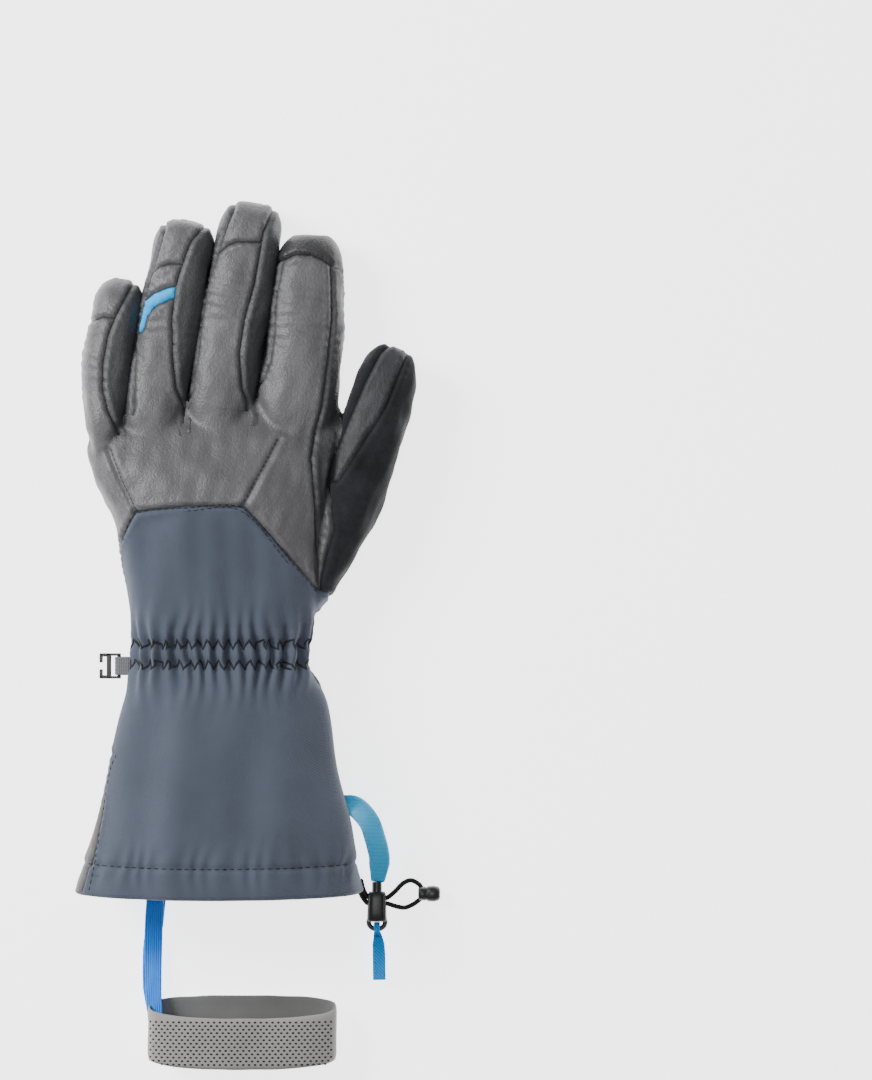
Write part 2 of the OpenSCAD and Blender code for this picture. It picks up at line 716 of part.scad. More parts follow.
if (shown("hand_lining")) hand_lining();
if (shown("gauntlet_top")) gauntlet_top();
if (shown("gauntlet_under")) gauntlet_under();
if (shown("side_gusset")) side_gusset();
if (shown("gauntlet_insulation")) gauntlet_insulation();
if (shown("gauntlet_lining")) gauntlet_lining();
if (shown("cuff_hem")) cuff_hem();
if (shown("wrist_elastic")) wrist_elastic();
if (shown("ring_tape")) ring_tape();
if (shown("index_tip_cap")) index_tip_cap();
if (shown("clip_webbing")) clip_webbing();
if (shown("hook_clip")) hook_clip();
if (shown("tether_ribbon")) tether_ribbon();
if (shown("hem_cord")) hem_cord();
if (shown("cord_loop")) cord_loop();
if (shown("cord_bead")) cord_bead();
if (shown("cord_lock_body")) cord_lock_body();
if (shown("cord_lock_plunger")) cord_lock_plunger();
if (shown("cord_lock_spring")) cord_lock_spring();
if (shown("pull_tab")) pull_tab();
if (shown("leash_webbing")) leash_webbing();
if (shown("leash_band")) leash_band();
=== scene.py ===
"""Ski glove, left hand, palm down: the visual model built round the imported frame.

Lengths in this script are millimetres in the frame's axes, turned to metres where a mesh is made.
"""

import json
import math

import bmesh
import bpy
import numpy as np
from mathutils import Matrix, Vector
from mathutils.bvhtree import BVHTree
from mathutils.kdtree import KDTree


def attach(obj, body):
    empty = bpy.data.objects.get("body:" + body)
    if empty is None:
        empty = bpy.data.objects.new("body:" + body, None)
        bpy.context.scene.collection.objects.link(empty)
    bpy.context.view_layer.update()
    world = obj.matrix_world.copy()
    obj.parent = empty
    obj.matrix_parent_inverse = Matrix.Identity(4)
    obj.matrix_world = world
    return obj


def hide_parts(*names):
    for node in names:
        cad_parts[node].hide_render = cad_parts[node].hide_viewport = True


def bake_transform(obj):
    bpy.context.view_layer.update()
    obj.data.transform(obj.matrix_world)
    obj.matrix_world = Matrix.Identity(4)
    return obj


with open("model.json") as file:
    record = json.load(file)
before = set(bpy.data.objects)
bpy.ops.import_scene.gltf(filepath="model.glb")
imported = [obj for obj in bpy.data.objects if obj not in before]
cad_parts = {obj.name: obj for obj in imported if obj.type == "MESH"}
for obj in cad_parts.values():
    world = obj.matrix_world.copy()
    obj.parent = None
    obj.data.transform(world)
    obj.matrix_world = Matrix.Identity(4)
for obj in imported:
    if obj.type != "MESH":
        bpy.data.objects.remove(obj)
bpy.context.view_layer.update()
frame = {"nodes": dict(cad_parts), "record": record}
MM = 0.001

# ---------------------------------------------------------------- camera
# The view shows 436 x 540 mm of the surface the glove lies on.
CAMERA_HEIGHT = 3000.0
VIEW_HEIGHT = 540.0
VIEW_CENTRE = (106.5, -20.0)
camera_data = bpy.data.cameras.new("camera")
camera_data.sensor_width = 36.0
camera_data.lens = camera_data.sensor_width * CAMERA_HEIGHT / VIEW_HEIGHT
camera_data.clip_end = 20.0
camera = bpy.data.objects.new("camera", camera_data)
camera.location = (VIEW_CENTRE[0] * MM, VIEW_CENTRE[1] * MM, CAMERA_HEIGHT * MM)
bpy.context.scene.collection.objects.link(camera)
bpy.context.scene.camera = camera

# ---------------------------------------------------------------- the hem cord's loose loop
CORD_DIAMETER = 2.4
LOOP_PATH = [
    (82.4, -198.4, 4.4), (86, -195.5, 4.2), (90, -191.5, 3.4), (94, -190, 2.6), (98, -192, 2.4),
    (99.8, -194.6, 2.6),
]
LOOP_BACK_PATH = [
    (82.2, -201.5, 4.4), (87, -203, 4), (91, -203.6, 3), (95, -202, 2.4), (98, -199.9, 2.4),
    (99.6, -198.6, 2.6),
]

# ---------------------------------------------------------------- sizes, as the frame has them
SEAM_Z = 13.0  # height of the seam along a finger between its back and its palm
# Each finger: its two joints and its tip, half widths at those three places, how far it reaches
# inside the hand, and its seams in X and Y: left, right, and "cap" across the tip.
FINGERS = {
    "little": dict(
        knuckle=(-58.5, 32), middle=(-56.9, 68), tip=(-49.2, 109.5),
        width=(8.0, 12.9, 12.2), inside=12.0,
        left=[(-90, 0), (-90, 150)],
        right=[
            (-49.7, 31.3), (-55.5, 44.3), (-58.5, 55.3), (-58.1, 68.2), (-55.9, 81), (-52, 90.6),
            (-48.2, 98.3), (-43, 108.7),
        ],
        cap=[(-65, 88.6), (-58.5, 90.6), (-45, 89)],
    ),
    "ring": dict(
        knuckle=(-33.5, 40), middle=(-25.6, 90), tip=(-16.2, 139.5),
        width=(15.6, 16.1, 14.6), inside=34.0,
        left=[
            (-49.7, 31.3), (-45.5, 36), (-43.2, 45), (-43.5, 60), (-42.6, 78), (-40.3, 90),
            (-37.2, 104), (-33.2, 117), (-28.5, 134),
        ],
        right=[
            (-18, 46.1), (-21.9, 55.3), (-23.6, 72.5), (-24, 89.7), (-22.3, 105.2), (-18.9, 116.8),
            (-14.6, 128.5), (-7.2, 137.1),
        ],
        cap=[(-36.5, 110.8), (-30.9, 115.5), (-25.8, 117), (-12, 117)],
    ),
    "middle": dict(
        knuckle=(-1, 46), middle=(7.6, 98), tip=(16.8, 148),
        width=(17.0, 17.4, 15.3), inside=34.0,
        left=[
            (-18, 46.1), (-14.6, 53.5), (-12, 72.5), (-9.9, 89.7), (-6.9, 106.9), (-2.2, 121.6),
            (0.8, 131), (6.2, 144.8),
        ],
        right=[
            (13.2, 48.7), (10.8, 55.3), (9.5, 72.5), (12.1, 89.7), (16.9, 106.9), (19.4, 121.6),
            (21.2, 132.8), (25.9, 144.8),
        ],
        cap=[(-2.5, 122), (3.5, 126.3), (8.7, 127.8), (26, 127.2)],
    ),
    "index": dict(
        knuckle=(37.4, 48), middle=(42.2, 90), tip=(44.2, 133.5),
        width=(20.7, 19.0, 15.1), inside=34.0,
        left=[
            (13.2, 48.7), (20.4, 59.5), (23.9, 68), (25.6, 81.1), (26.8, 101.8), (30.6, 119.9),
            (32.3, 130.2),
        ],
        right=[
            (50.3, 46), (51.3, 53.5), (52.6, 63.9), (55.2, 89.7), (54.8, 111.2), (53, 124.2),
            (52.2, 131.9),
        ],
        cap=[(30.6, 118.8), (37.1, 121.6), (44.9, 121), (50, 119), (56, 115)],
    ),
}
RING_TAPE = [(-22, 102.6), (-26.6, 101.8), (-31.8, 99.8), (-36.5, 96.6), (-40, 92), (-41.4, 86)]
FINGER_HEIGHT = (16.0, 14.6, 12.6)  # half heights at knuckle, middle joint and tip
RING_STEP = 1.5
THUMB_Z = 17.8
THUMB_MIDDLE, THUMB_TIP = (75.0, 34.0), (86.8, 76.0)
HEM_Y = -195.0
FLOOR_Z = -1.7
VOXEL = 1.05


def heading(a, b):
    """Angle of the line from a to b, in radians from +Y towards +X."""
    return math.atan2(b[0] - a[0], b[1] - a[1])


def smoothstep(lo, hi, v):
    """0 at lo, 1 at hi, and smooth between them."""
    t = np.clip((v - lo) / (hi - lo), 0.0, 1.0)
    return t * t * (3 - 2 * t)


def power(v, p):
    """v to the power p, with its sign kept."""
    return np.sign(v) * np.abs(v) ** p


def section(centre, angle, w, h, steps=56, p=0.8):
    """Closed rounded ring across the direction `angle`, of half sizes w and h."""
    t = np.linspace(0, 2 * np.pi, steps, endpoint=False)
    u, v = w * power(np.cos(t), p), h * power(np.sin(t), p)
    return np.stack(
        [centre[0] + u * math.cos(angle), centre[1] - u * math.sin(angle), centre[2] + v], axis=1
    )


def loft(rings):
    """Closed solid through rings that all have the same number of points."""
    n, m = len(rings[0]), len(rings)
    verts = np.concatenate(rings)
    faces = []
    for j in range(m - 1):
        for i in range(n):
            k = (i + 1) % n
            faces.append((j * n + i, j * n + k, (j + 1) * n + k, (j + 1) * n + i))
    faces.append(tuple(range(n - 1, -1, -1)))
    faces.append(tuple((m - 1) * n + i for i in range(n)))
    return verts, faces


def joined(parts):
    """One vertex array and one face list from several."""
    verts, faces, base = [], [], 0
    for v, f in parts:
        verts.append(np.asarray(v, float))
        faces += [tuple(i + base for i in face) for face in f]
        base += len(v)
    return np.concatenate(verts), faces


def new_object(name, verts, faces, material=None):
    """Smooth-shaded object from millimetre vertices."""
    mesh = bpy.data.meshes.new(name)
    mesh.from_pydata([tuple(v) for v in np.asarray(verts) * MM], [], faces)
    mesh.validate()
    mesh.update()
    mesh.shade_smooth()
    obj = bpy.data.objects.new(name, mesh)
    bpy.context.scene.collection.objects.link(obj)
    if material:
        mesh.materials.append(material)
    return obj


def arrays(mesh):
    """Vertices in millimetres and faces of a mesh."""
    co = np.empty(len(mesh.vertices) * 3)
    mesh.vertices.foreach_get("co", co)
    return co.reshape(-1, 3) / MM, [tuple(p.vertices) for p in mesh.polygons]


def remeshed(parts, voxel, rounds):
    """The union of closed parts as one even mesh, smoothed a number of rounds."""
    obj = new_object("work", *joined(parts))
    remesh = obj.modifiers.new("remesh", "REMESH")
    remesh.mode = "VOXEL"
    remesh.voxel_size = voxel * MM
    smooth = obj.modifiers.new("smooth", "SMOOTH")
    smooth.factor = 0.5
    smooth.iterations = rounds
    graph = bpy.context.evaluated_depsgraph_get()
    mesh = bpy.data.meshes.new_from_object(obj.evaluated_get(graph))
    verts, faces = arrays(mesh)
    bpy.data.objects.remove(obj)
    bpy.data.meshes.remove(mesh)
    return verts, faces


def centres(verts, faces):
    return np.array([verts[list(f)].mean(0) for f in faces])


def chosen(faces, wanted):
    return [f for f, w in zip(faces, wanted) if w]


def compact(faces):
    """The vertices that faces use, and the faces numbered by them."""
    used = sorted({i for f in faces for i in f})
    index = {v: i for i, v in enumerate(used)}
    return used, [tuple(index[i] for i in f) for f in faces]


def kept(verts, faces, keep):
    """The faces whose centre passes keep, with their own vertices."""
    used, faces = compact(chosen(faces, keep(centres(verts, faces))))
    return verts[used], faces


def closed_strips(count, n):
    """Quads of a surface closed both ways: `count` rings of n points each."""
    return [
        (j * n + i, j * n + (i + 1) % n, (j + 1) % count * n + (i + 1) % n, (j + 1) % count * n + i)
        for j in range(count) for i in range(n)
    ]


def cut(verts, faces, field):
    """Cuts a mesh along field(verts) = 0, so that faces lie on one side or the other."""
    mesh = bpy.data.meshes.new("cut")
    mesh.from_pydata([tuple(v) for v in verts], [], faces)
    bm = bmesh.new()
    bm.from_mesh(mesh)
    bpy.data.meshes.remove(mesh)
    bm.verts.ensure_lookup_table()
    value = field(verts)
    near = 0.08
    on_line = [bm.verts[i] for i in np.nonzero(np.abs(value) < near)[0]]
    crossing = []
    for e in bm.edges:
        a, b = value[e.verts[0].index], value[e.verts[1].index]
        if a * b < 0 and abs(a) >= near and abs(b) >= near:
            crossing.append((e, a / (a - b)))
    for e, t in crossing:
        on_line.append(bmesh.utils.edge_split(e, e.verts[0], t)[1])
    bmesh.ops.connect_verts(bm, verts=on_line)
    bm.verts.index_update()
    out = np.array([v.co for v in bm.verts])
    faces = [tuple(v.index for v in f.verts) for f in bm.faces]
    bm.free()
    return out, faces


def polyline_distance(points, path):
    """Distance in X and Y from points to a polyline."""
    best = np.full(len(points), 1e9)
    for a, b in zip(path[:-1], path[1:]):
        a, b = np.array(a, float), np.array(b, float)
        t = np.clip(((points[:, :2] - a) @ (b - a)) / max(1e-9, (b - a) @ (b - a)), 0, 1)
        best = np.minimum(best, np.linalg.norm(points[:, :2] - (a + t[:, None] * (b - a)), axis=1))
    return best


def polygon_field(points, outline):
    """Signed distance in X and Y to a closed outline, positive inside."""
    d = polyline_distance(points, list(outline) + [outline[0]])
    inside = np.zeros(len(points), bool)
    x, y = points[:, 0], points[:, 1]
    for (x0, y0), (x1, y1) in zip(outline, list(outline[1:]) + [outline[0]]):
        crosses = (y0 > y) != (y1 > y)
        with np.errstate(divide="ignore", invalid="ignore"):
            at = x0 + (y - y0) * (x1 - x0) / (y1 - y0 if y1 != y0 else 1e-9)
        inside ^= crosses & (x < at)
    return np.where(inside, d, -d)


def vertex_normals(verts, faces):
    """Area-weighted normals."""
    normals = np.zeros_like(verts)
    for size in {len(f) for f in faces}:
        idx = np.array([f for f in faces if len(f) == size])
        p = verts[idx]
        n = np.zeros((len(idx), 3))
        for k in range(1, size - 1):
            n += np.cross(p[:, k] - p[:, 0], p[:, k + 1] - p[:, 0])
        for k in range(size):
            np.add.at(normals, idx[:, k], n)
    return normals / np.maximum(np.linalg.norm(normals, axis=1, keepdims=True), 1e-12)


def waves(p, scale, seed):
    """Smooth pseudo-random field of about unit size, from sums of tilted sines."""
    rng = np.random.default_rng(seed)
    total = np.zeros(len(p))
    for _ in range(9):
        k = rng.normal(size=3)
        k *= 2 * np.pi / (scale * rng.uniform(0.7, 1.5)) / np.linalg.norm(k)
        total += np.sin(p @ k + rng.uniform(0, 6.28))
    return total / 3.0


# ---------------------------------------------------------------- body forms
def finger_frame(f, part):
    """Origin, heading and length of a finger's part: 0 next to the hand, 1 at the tip."""
    a, b = (f["knuckle"], f["middle"]) if part == 0 else (f["middle"], f["tip"])
    return a, heading(a, b), math.hypot(b[0] - a[0], b[1] - a[1])


def finger_width(f, s):
    """Half width at a distance from the knuckle; it opens out quickly past the knuckle."""
    l0, l1 = finger_frame(f, 0)[2], finger_frame(f, 1)[2]
    w0, w1, w2 = f["width"]
    s = np.asarray(s, float)
    near = w0 + (w1 - w0) * np.clip(s / l0, 0, 1) ** 0.55
    far = w1 + (w2 - w1) * np.clip((s - l0) / l1, 0, 1)
    return np.where(s < l0, near, far)


def rounded_end(w, h, left, reach, p):
    """Half sizes of a section that lies `left` before a tip rounded over `reach`."""
    if left >= reach:
        return w, h
    k = max(0.0, 1 - ((reach - left) / reach) ** p) ** (1 / p)
    return w * (0.12 + 0.88 * k), h * (0.10 + 0.90 * k)


def finger_rings(f):
    """Sections from inside the hand to the rounded tip."""
    a, first, l0 = finger_frame(f, 0)
    b, last, l1 = finger_frame(f, 1)
    rings = []
    for s in np.arange(-f["inside"], l0 + l1 + 0.01, RING_STEP):
        w = float(finger_width(f, s))
        if s < l0:
            x, y = a[0] + math.sin(first) * s, a[1] + math.cos(first) * s
            t = s / l0
            h = np.interp(t, [0, 1], FINGER_HEIGHT[:2])
        else:
            t = (s - l0) / l1
            x, y = b[0] + math.sin(last) * (s - l0), b[1] + math.cos(last) * (s - l0)
            h = FINGER_HEIGHT[1] + (FINGER_HEIGHT[2] - FINGER_HEIGHT[1]) * t
        bend = smoothstep(l0 - 14, l0 + 14, s)
        z = h + 0.4
        if s < 0:
            buried = -s / f["inside"]
            w, h, z = w * (1 - 0.4 * buried), h * (1 - 0.45 * buried), z + 4.5 * buried
        w, h = rounded_end(w, h, l0 + l1 - s, 15, 2.3)
        rings.append(section((x, y, z), first + (last - first) * bend, w, h))
    return rings


# Rows of the hand and the cuff: Y, centre X, half width, half height, centre Z.
SLAB = [
    (-62, 0.8, 46.0, 21.0, 22.2), (-45, 0.5, 47.5, 21.5, 22.9), (-22, -0.8, 49.5, 22, 23.4),
    (-7, -1.5, 53, 21.8, 23.1), (10, -4.0, 58.5, 20.6, 21.8), (22, -4.5, 63, 18.2, 19.6),
    (31, -4.5, 65, 15.8, 17.6), (38, 1.5, 60.5, 13.8, 16.6), (44, 8, 52, 11.5, 15.2),
    (48, 11, 44, 8, 14),
]
CUFF = [
    (-201, -0.6, 72.4, 31.4, 31.6), (-195, -0.6, 71.6, 31.2, 31.4), (-180, -0.2, 68.6, 30.2, 30.4),
    (-165, 0.5, 65, 29, 29.2), (-135, 0.5, 57.5, 26.5, 26.8), (-105, 1.5, 50, 23.5, 23.9),
    (-88, 0.5, 46, 21.6, 22.2), (-75, 0, 44.3, 20.6, 21.8), (-62, 0.8, 46.0, 21.0, 22.2),
]
# Rows of the thumb's root: Y, centre X, half width, half height.
THUMB_SECTIONS = [
    (-56, 40, 9, 10), (-44, 47, 10, 13), (-28, 54.5, 12.4, 15), (-12, 60.6, 14.8, 15.8),
    (4, 66.2, 15.8, 15.8),
]


def slab_rings(rows):
    """Sections of the hand or the cuff from their rows."""
    return [section((cx, y, cz), 0, w, h, p=0.78) for y, cx, w, h, cz in rows]


def dense(rows, step):
    """Rows interpolated smoothly along their first value."""
    rows = np.array(rows, float)
    y = np.arange(rows[0, 0], rows[-1, 0] + 0.01, step)
    columns = []
    for c in range(1, rows.shape[1]):
        v = np.interp(y, rows[:, 0], rows[:, c])
        pad = np.pad(v, 6, mode="edge")
        columns.append(np.convolve(pad, np.ones(13) / 13, "valid"))
    return [tuple(r) for r in np.column_stack([y] + columns)]


def thumb_rings():
    """Sections of the thumb from its root, buried in the hand, to its rounded tip."""
    rings = [section((cx, y, THUMB_Z), 0.0, w, h) for y, cx, w, h in THUMB_SECTIONS]
    a = (66.2, 4.0)
    head = heading(a, THUMB_TIP)
    length = math.hypot(THUMB_TIP[0] - a[0], THUMB_TIP[1] - a[1])
    for s in np.arange(6, length + 0.01, RING_STEP):
        w = np.interp(s / length, [0, 0.4, 1], [15.8, 16.2, 14.4])
        h = np.interp(s / length, [0, 0.4, 1], [15.6, 15, 12.8])
        w, h = rounded_end(w, h, length - s, 19, 2.1)
        place = (a[0] + math.sin(head) * s, a[1] + math.cos(head) * s, THUMB_Z)
        rings.append(section(place, head * min(1, s / 20), w, h))
    return rings


def finger_coordinates(f, p):
    """Distance along the finger from the knuckle, sideways offset, and half width there."""
    a, first, l0 = finger_frame(f, 0)
    b, last, l1 = finger_frame(f, 1)
    d0, d1 = p[:, :2] - a, p[:, :2] - b
    s0 = d0 @ (math.sin(first), math.cos(first))
    u0 = d0 @ (math.cos(first), -math.sin(first))
    s1 = d1 @ (math.sin(last), math.cos(last))
    u1 = d1 @ (math.cos(last), -math.sin(last))
    t = smoothstep(l0 - 6, l0 + 6, s0)
    s = s0 * (1 - t) + (s1 + l0) * t
    u = u0 * (1 - t) + u1 * t
    return s, u, finger_width(f, s)


# ---------------------------------------------------------------- seams and edges on the forms
def at_x(path, x):
    """Y of a path at x."""
    path = sorted(path)
    return np.interp(x, [p[0] for p in path], [p[1] for p in path])


def at_y(path, y):
    """First coordinate of a path at y."""
    path = sorted((b, a) for a, b in path)
    return np.interp(y, [p[0] for p in path], [p[1] for p in path])


PANEL_EDGE = [
    (-70, -29), (-50.6, -28), (-49.6, -20), (-42, -6), (-16, -3), (12, -3.5), (36, -30),
    (48.5, -45), (70, -50),
]
PANEL_EDGE_PALM = [(-60, -55), (-46, -55), (0, -54.5), (23, -33), (53, -49.5), (70, -52)]
INDEX_SEAM = [(48.5, -48), (48, -29), (47, -2.5), (45, 21.5), (47, 34), (50.3, 46), (51.3, 53.5)]
THUMB_EDGE = [(49, -60), (49.5, -38), (56, -15), (53, 7), (55, 18), (59.5, 36), (60.5, 90)]
THUMB_EDGE_PALM = [
    (53, -49), (23, -33), (19.5, -25), (14, -9.5), (16.5, 11.5), (21.5, 21.5), (36.5, 31.5),
    (54, 34), (54, 90),
]
THUMB_PANEL = [
    (55, 9), (57, 24), (61.5, 36.5), (71, 58), (79, 73), (86, 79), (92.5, 73), (82, 46),
    (66, 21), (58, 9),
]
PATCH = [
    (-39, -41), (-27.5, -38), (-22.5, -32), (11.5, 18.5), (10.5, 23.5), (-3, 36), (36.5, 32.5),
    (54, 45), (51.5, 54), (40, 52), (30.5, 40), (19.5, 48), (6, 50), (-1.5, 38), (-10.5, 46),
    (-24, 45), (-28.5, 38), (-38, 37), (-48, 37), (-52, 30), (-52, 22), (-48, 15), (-32, 8),
    (-48, -4), (-49.5, -15), (-42.5, -39),
]
DARTS = [[(-55.5, 24.5), (-49.5, 9), (-42, -6)], [(29, 29.5), (21, 14), (12, -3)]]
GUSSET_EDGE = [(-52.5, -125.5), (-56.5, -137), (-62.5, -177), (-66.5, -197)]
# Heights of the gusset's two long edges on the cuff's side, each with its Y.
GUSSET_FRONT = [(33.0, -125.5), (34.5, -137), (45.5, -177), (47.5, -201)]
GUSSET_REAR = [(22.0, -125.5), (12.0, -155), (9.0, -201)]
GUSSET_TOP_Y = -125.5
WRIST_ROWS = (-71.5, -81.5)


def hem_line(x):
    """Stitch line of the hem, bowed like the hem itself."""
    return -177.5 - 4.0 * np.sqrt(np.clip(1 - (x / 74) ** 2, 0, 1))


def panel_field(p):
    """Above zero towards the fingers from the softshell's edge."""
    t = smoothstep(7, 31, p[:, 2])
    return p[:, 1] - (at_x(PANEL_EDGE_PALM, p[:, 0]) * (1 - t) + at_x(PANEL_EDGE, p[:, 0]) * t)


def thumb_field(p):
    """Above zero on the thumb's side of its seam."""
    t = smoothstep(7, 22, p[:, 2])
    return p[:, 0] - (at_y(THUMB_EDGE_PALM, p[:, 1]) * (1 - t) + at_y(THUMB_EDGE, p[:, 1]) * t)


def back_field(p):
    """Above zero on the leather of the back of the hand."""
    side = at_y(INDEX_SEAM, p[:, 1]) - p[:, 0]
    return np.minimum(side, p[:, 2] - np.where(p[:, 0] < 0, 12.0, 19.0))


def thumb_panel_field(p):
    """Above zero on the leather panel of the thumb's back."""
    return np.minimum(polygon_field(p, THUMB_PANEL), p[:, 2] - THUMB_Z)


def patch_field(p):
    """Above zero on the grip patch of the palm."""
    return np.minimum(polygon_field(p, PATCH), 9.0 - p[:, 2])


def gusset_field(p):
    """Above zero on the wedge let into the cuff's little-finger side."""
    x, y, z = p.T
    height = np.minimum(at_y(GUSSET_FRONT, y) - z, z - at_y(GUSSET_REAR, y))
    return np.minimum(height, np.minimum(GUSSET_TOP_Y - y, -20.0 - x))


def nearest_root(p):
    """Distance past the knuckle line of the finger that a point belongs to."""
    best, out = np.full(len(p), 1e9), np.zeros(len(p))
    for f in FINGERS.values():
        s, u, w = finger_coordinates(f, p)
        r = np.abs(u) / w
        out = np.where(r < best, s, out)
        best = np.minimum(best, r)
    return np.where(p[:, 0] > 60, -10.0, out)


# ---------------------------------------------------------------- relief of the skin
def relief(p):
    """Height in millimetres added along the normal: soft wrinkles, gathers and folds."""
    x, y, z = p.T
    cloth = 1 - smoothstep(-8, 2, panel_field(p))
    leather = 1 - cloth
    gather = np.exp(-(((y + 76.5) / 15.0) ** 2))
    phase = x * 0.93 + 1.2 * waves(p, 30, 5) + np.where(z < 20, 1.7, 0)
    out = cloth * gather * 1.75 * np.sin(phase)
    for row in WRIST_ROWS:
        out -= cloth * 1.3 * np.exp(-(((y - row) / 3.0) ** 2))
    tall = p * np.array([1.0, 0.22, 1.0])
    cuff = smoothstep(-84, -104, y)
    out += cuff * (1.3 * waves(tall, 26, 11) + 0.6 * waves(p, 42, 12))
    panel = cloth * (1 - cuff)
    out += panel * 0.7 * waves(tall, 17, 13)
    hem = np.exp(-(((y - hem_line(x)) / 1.5) ** 2))
    out -= 0.75 * hem
    near_hem = np.exp(-(((y - hem_line(x)) / 9.0) ** 2))
    out += near_hem * 0.4 * np.sin(x * 0.75 + 2 * waves(p, 25, 14))
    out += leather * (0.5 * waves(p, 24, 21) + 0.22 * waves(p, 9, 22))
    for dart in DARTS:
        d = polyline_distance(p, dart)
        out -= leather * (z > 20) * 1.0 * np.exp(-((d / 1.2) ** 2))
        out += leather * (z > 20) * 0.35 * np.exp(-(((d - 3.0) / 1.8) ** 2))
    return out


def finger_relief(f, p):
    """Height added to a finger's skin: wrinkles, and folds at its middle joint."""
    s, u, w = finger_coordinates(f, p)
    _, _, l0 = finger_frame(f, 0)
    out = 0.42 * waves(p, 24, 21) + 0.16 * waves(p, 9, 22)
    fold = np.exp(-(((s - l0) / 13.0) ** 2))
    out += fold * 0.22 * np.sin(s * 1.15 + 1.1 * waves(p, 20, 31)) * smoothstep(0, 6, p[:, 2] - 8)
    under = smoothstep(2, -8, p[:, 2] - 14)
    out -= under * 0.9 * np.exp(-(((s - l0) / 3.2) ** 2))
    return out


def displaced(verts, faces, amount):
    """Vertices moved along their normals."""
    return verts + vertex_normals(verts, faces) * amount[:, None]


def sink_seams(verts, faces, labels, depth=1.0, reach=1.15):
    """Draws the skin in along every line where two labels meet, and puckers it beside the line."""
    owner = {}
    seam = set()
    for k, f in enumerate(faces):
        for a, b in zip(f, f[1:] + f[:1]):
            key = (min(a, b), max(a, b))
            if key in owner and labels[owner[key]] != labels[k]:
                seam.update(key)
            owner.setdefault(key, k)
    if not seam:
        return verts, np.full(len(verts), 99.0)
    tree = KDTree(len(seam))
    for i in seam:
        tree.insert(verts[i], i)
    tree.balance()
    d = np.array([tree.find(v)[2] for v in verts])
    normals = vertex_normals(verts, faces)
    pucker = np.sin(verts @ np.array([1.05, 1.3, 0.6]) + 1.5 * waves(verts, 14, 41))
    amount = -depth * np.exp(-((d / reach) ** 2)) + 0.3 * np.exp(-(((d - 2.6) / 1.5) ** 2))
    amount += 0.16 * pucker * np.exp(-(((d - 2.2) / 2.2) ** 2))
    return verts + normals * amount[:, None], d


def panel_object(name, verts, faces, normals, seam, material):
    """A panel's object, with the whole panel's normals so that its cuts stay smooth.

    Its attribute "seam" is 1 on the panel's sewn edges and 0 away from them; the shaders darken the
    colour by it, as painted shade in the seam grooves.
    """
    used, own_faces = compact(faces)
    obj = new_object(name, verts[used], own_faces, material)
    if len(obj.data.vertices) == len(used):
        obj.data.normals_split_custom_set_from_vertices([tuple(normals[i]) for i in used])
        # attribute that drives the painted shade along the seams
        line = obj.data.attributes.new("seam", "FLOAT", "POINT")
        line.data.foreach_set("value", np.clip(1 - seam[used] / 0.8, 0, 1))
    return obj


def split_panels(verts, faces, labels):
    """Each label's faces with normals of that label alone: {label: (faces, normals)}."""
    out = {}
    for label in sorted(set(labels)):
        mine = [f for f, k in zip(faces, labels) if k == label]
        out[label] = (mine, vertex_normals(verts, mine))
    return out


# ---------------------------------------------------------------- materials
RIB_SCALE = 31.4  # wave scale of ribs 1 mm apart, in coordinates made ten times larger
GRID_STRETCH = 0.3142 / 0.0046  # brings the grid's lines 4.6 mm apart


def material(name, colour, roughness, build, specular=0.4, sheen=0.0):
    """A material whose nodes `build` adds to a plain shader."""
    m = bpy.data.materials.new(name)
    m.use_nodes = True
    shader = m.node_tree.nodes["Principled BSDF"]
    shader.inputs["Base Color"].default_value = (*colour, 1)
    shader.inputs["Roughness"].default_value = roughness
    shader.inputs["Specular IOR Level"].default_value = specular
    shader.inputs["Sheen Weight"].default_value = sheen
    shader.inputs["Sheen Roughness"].default_value = 0.5
    build(m.node_tree, shader, colour, roughness)
    return m


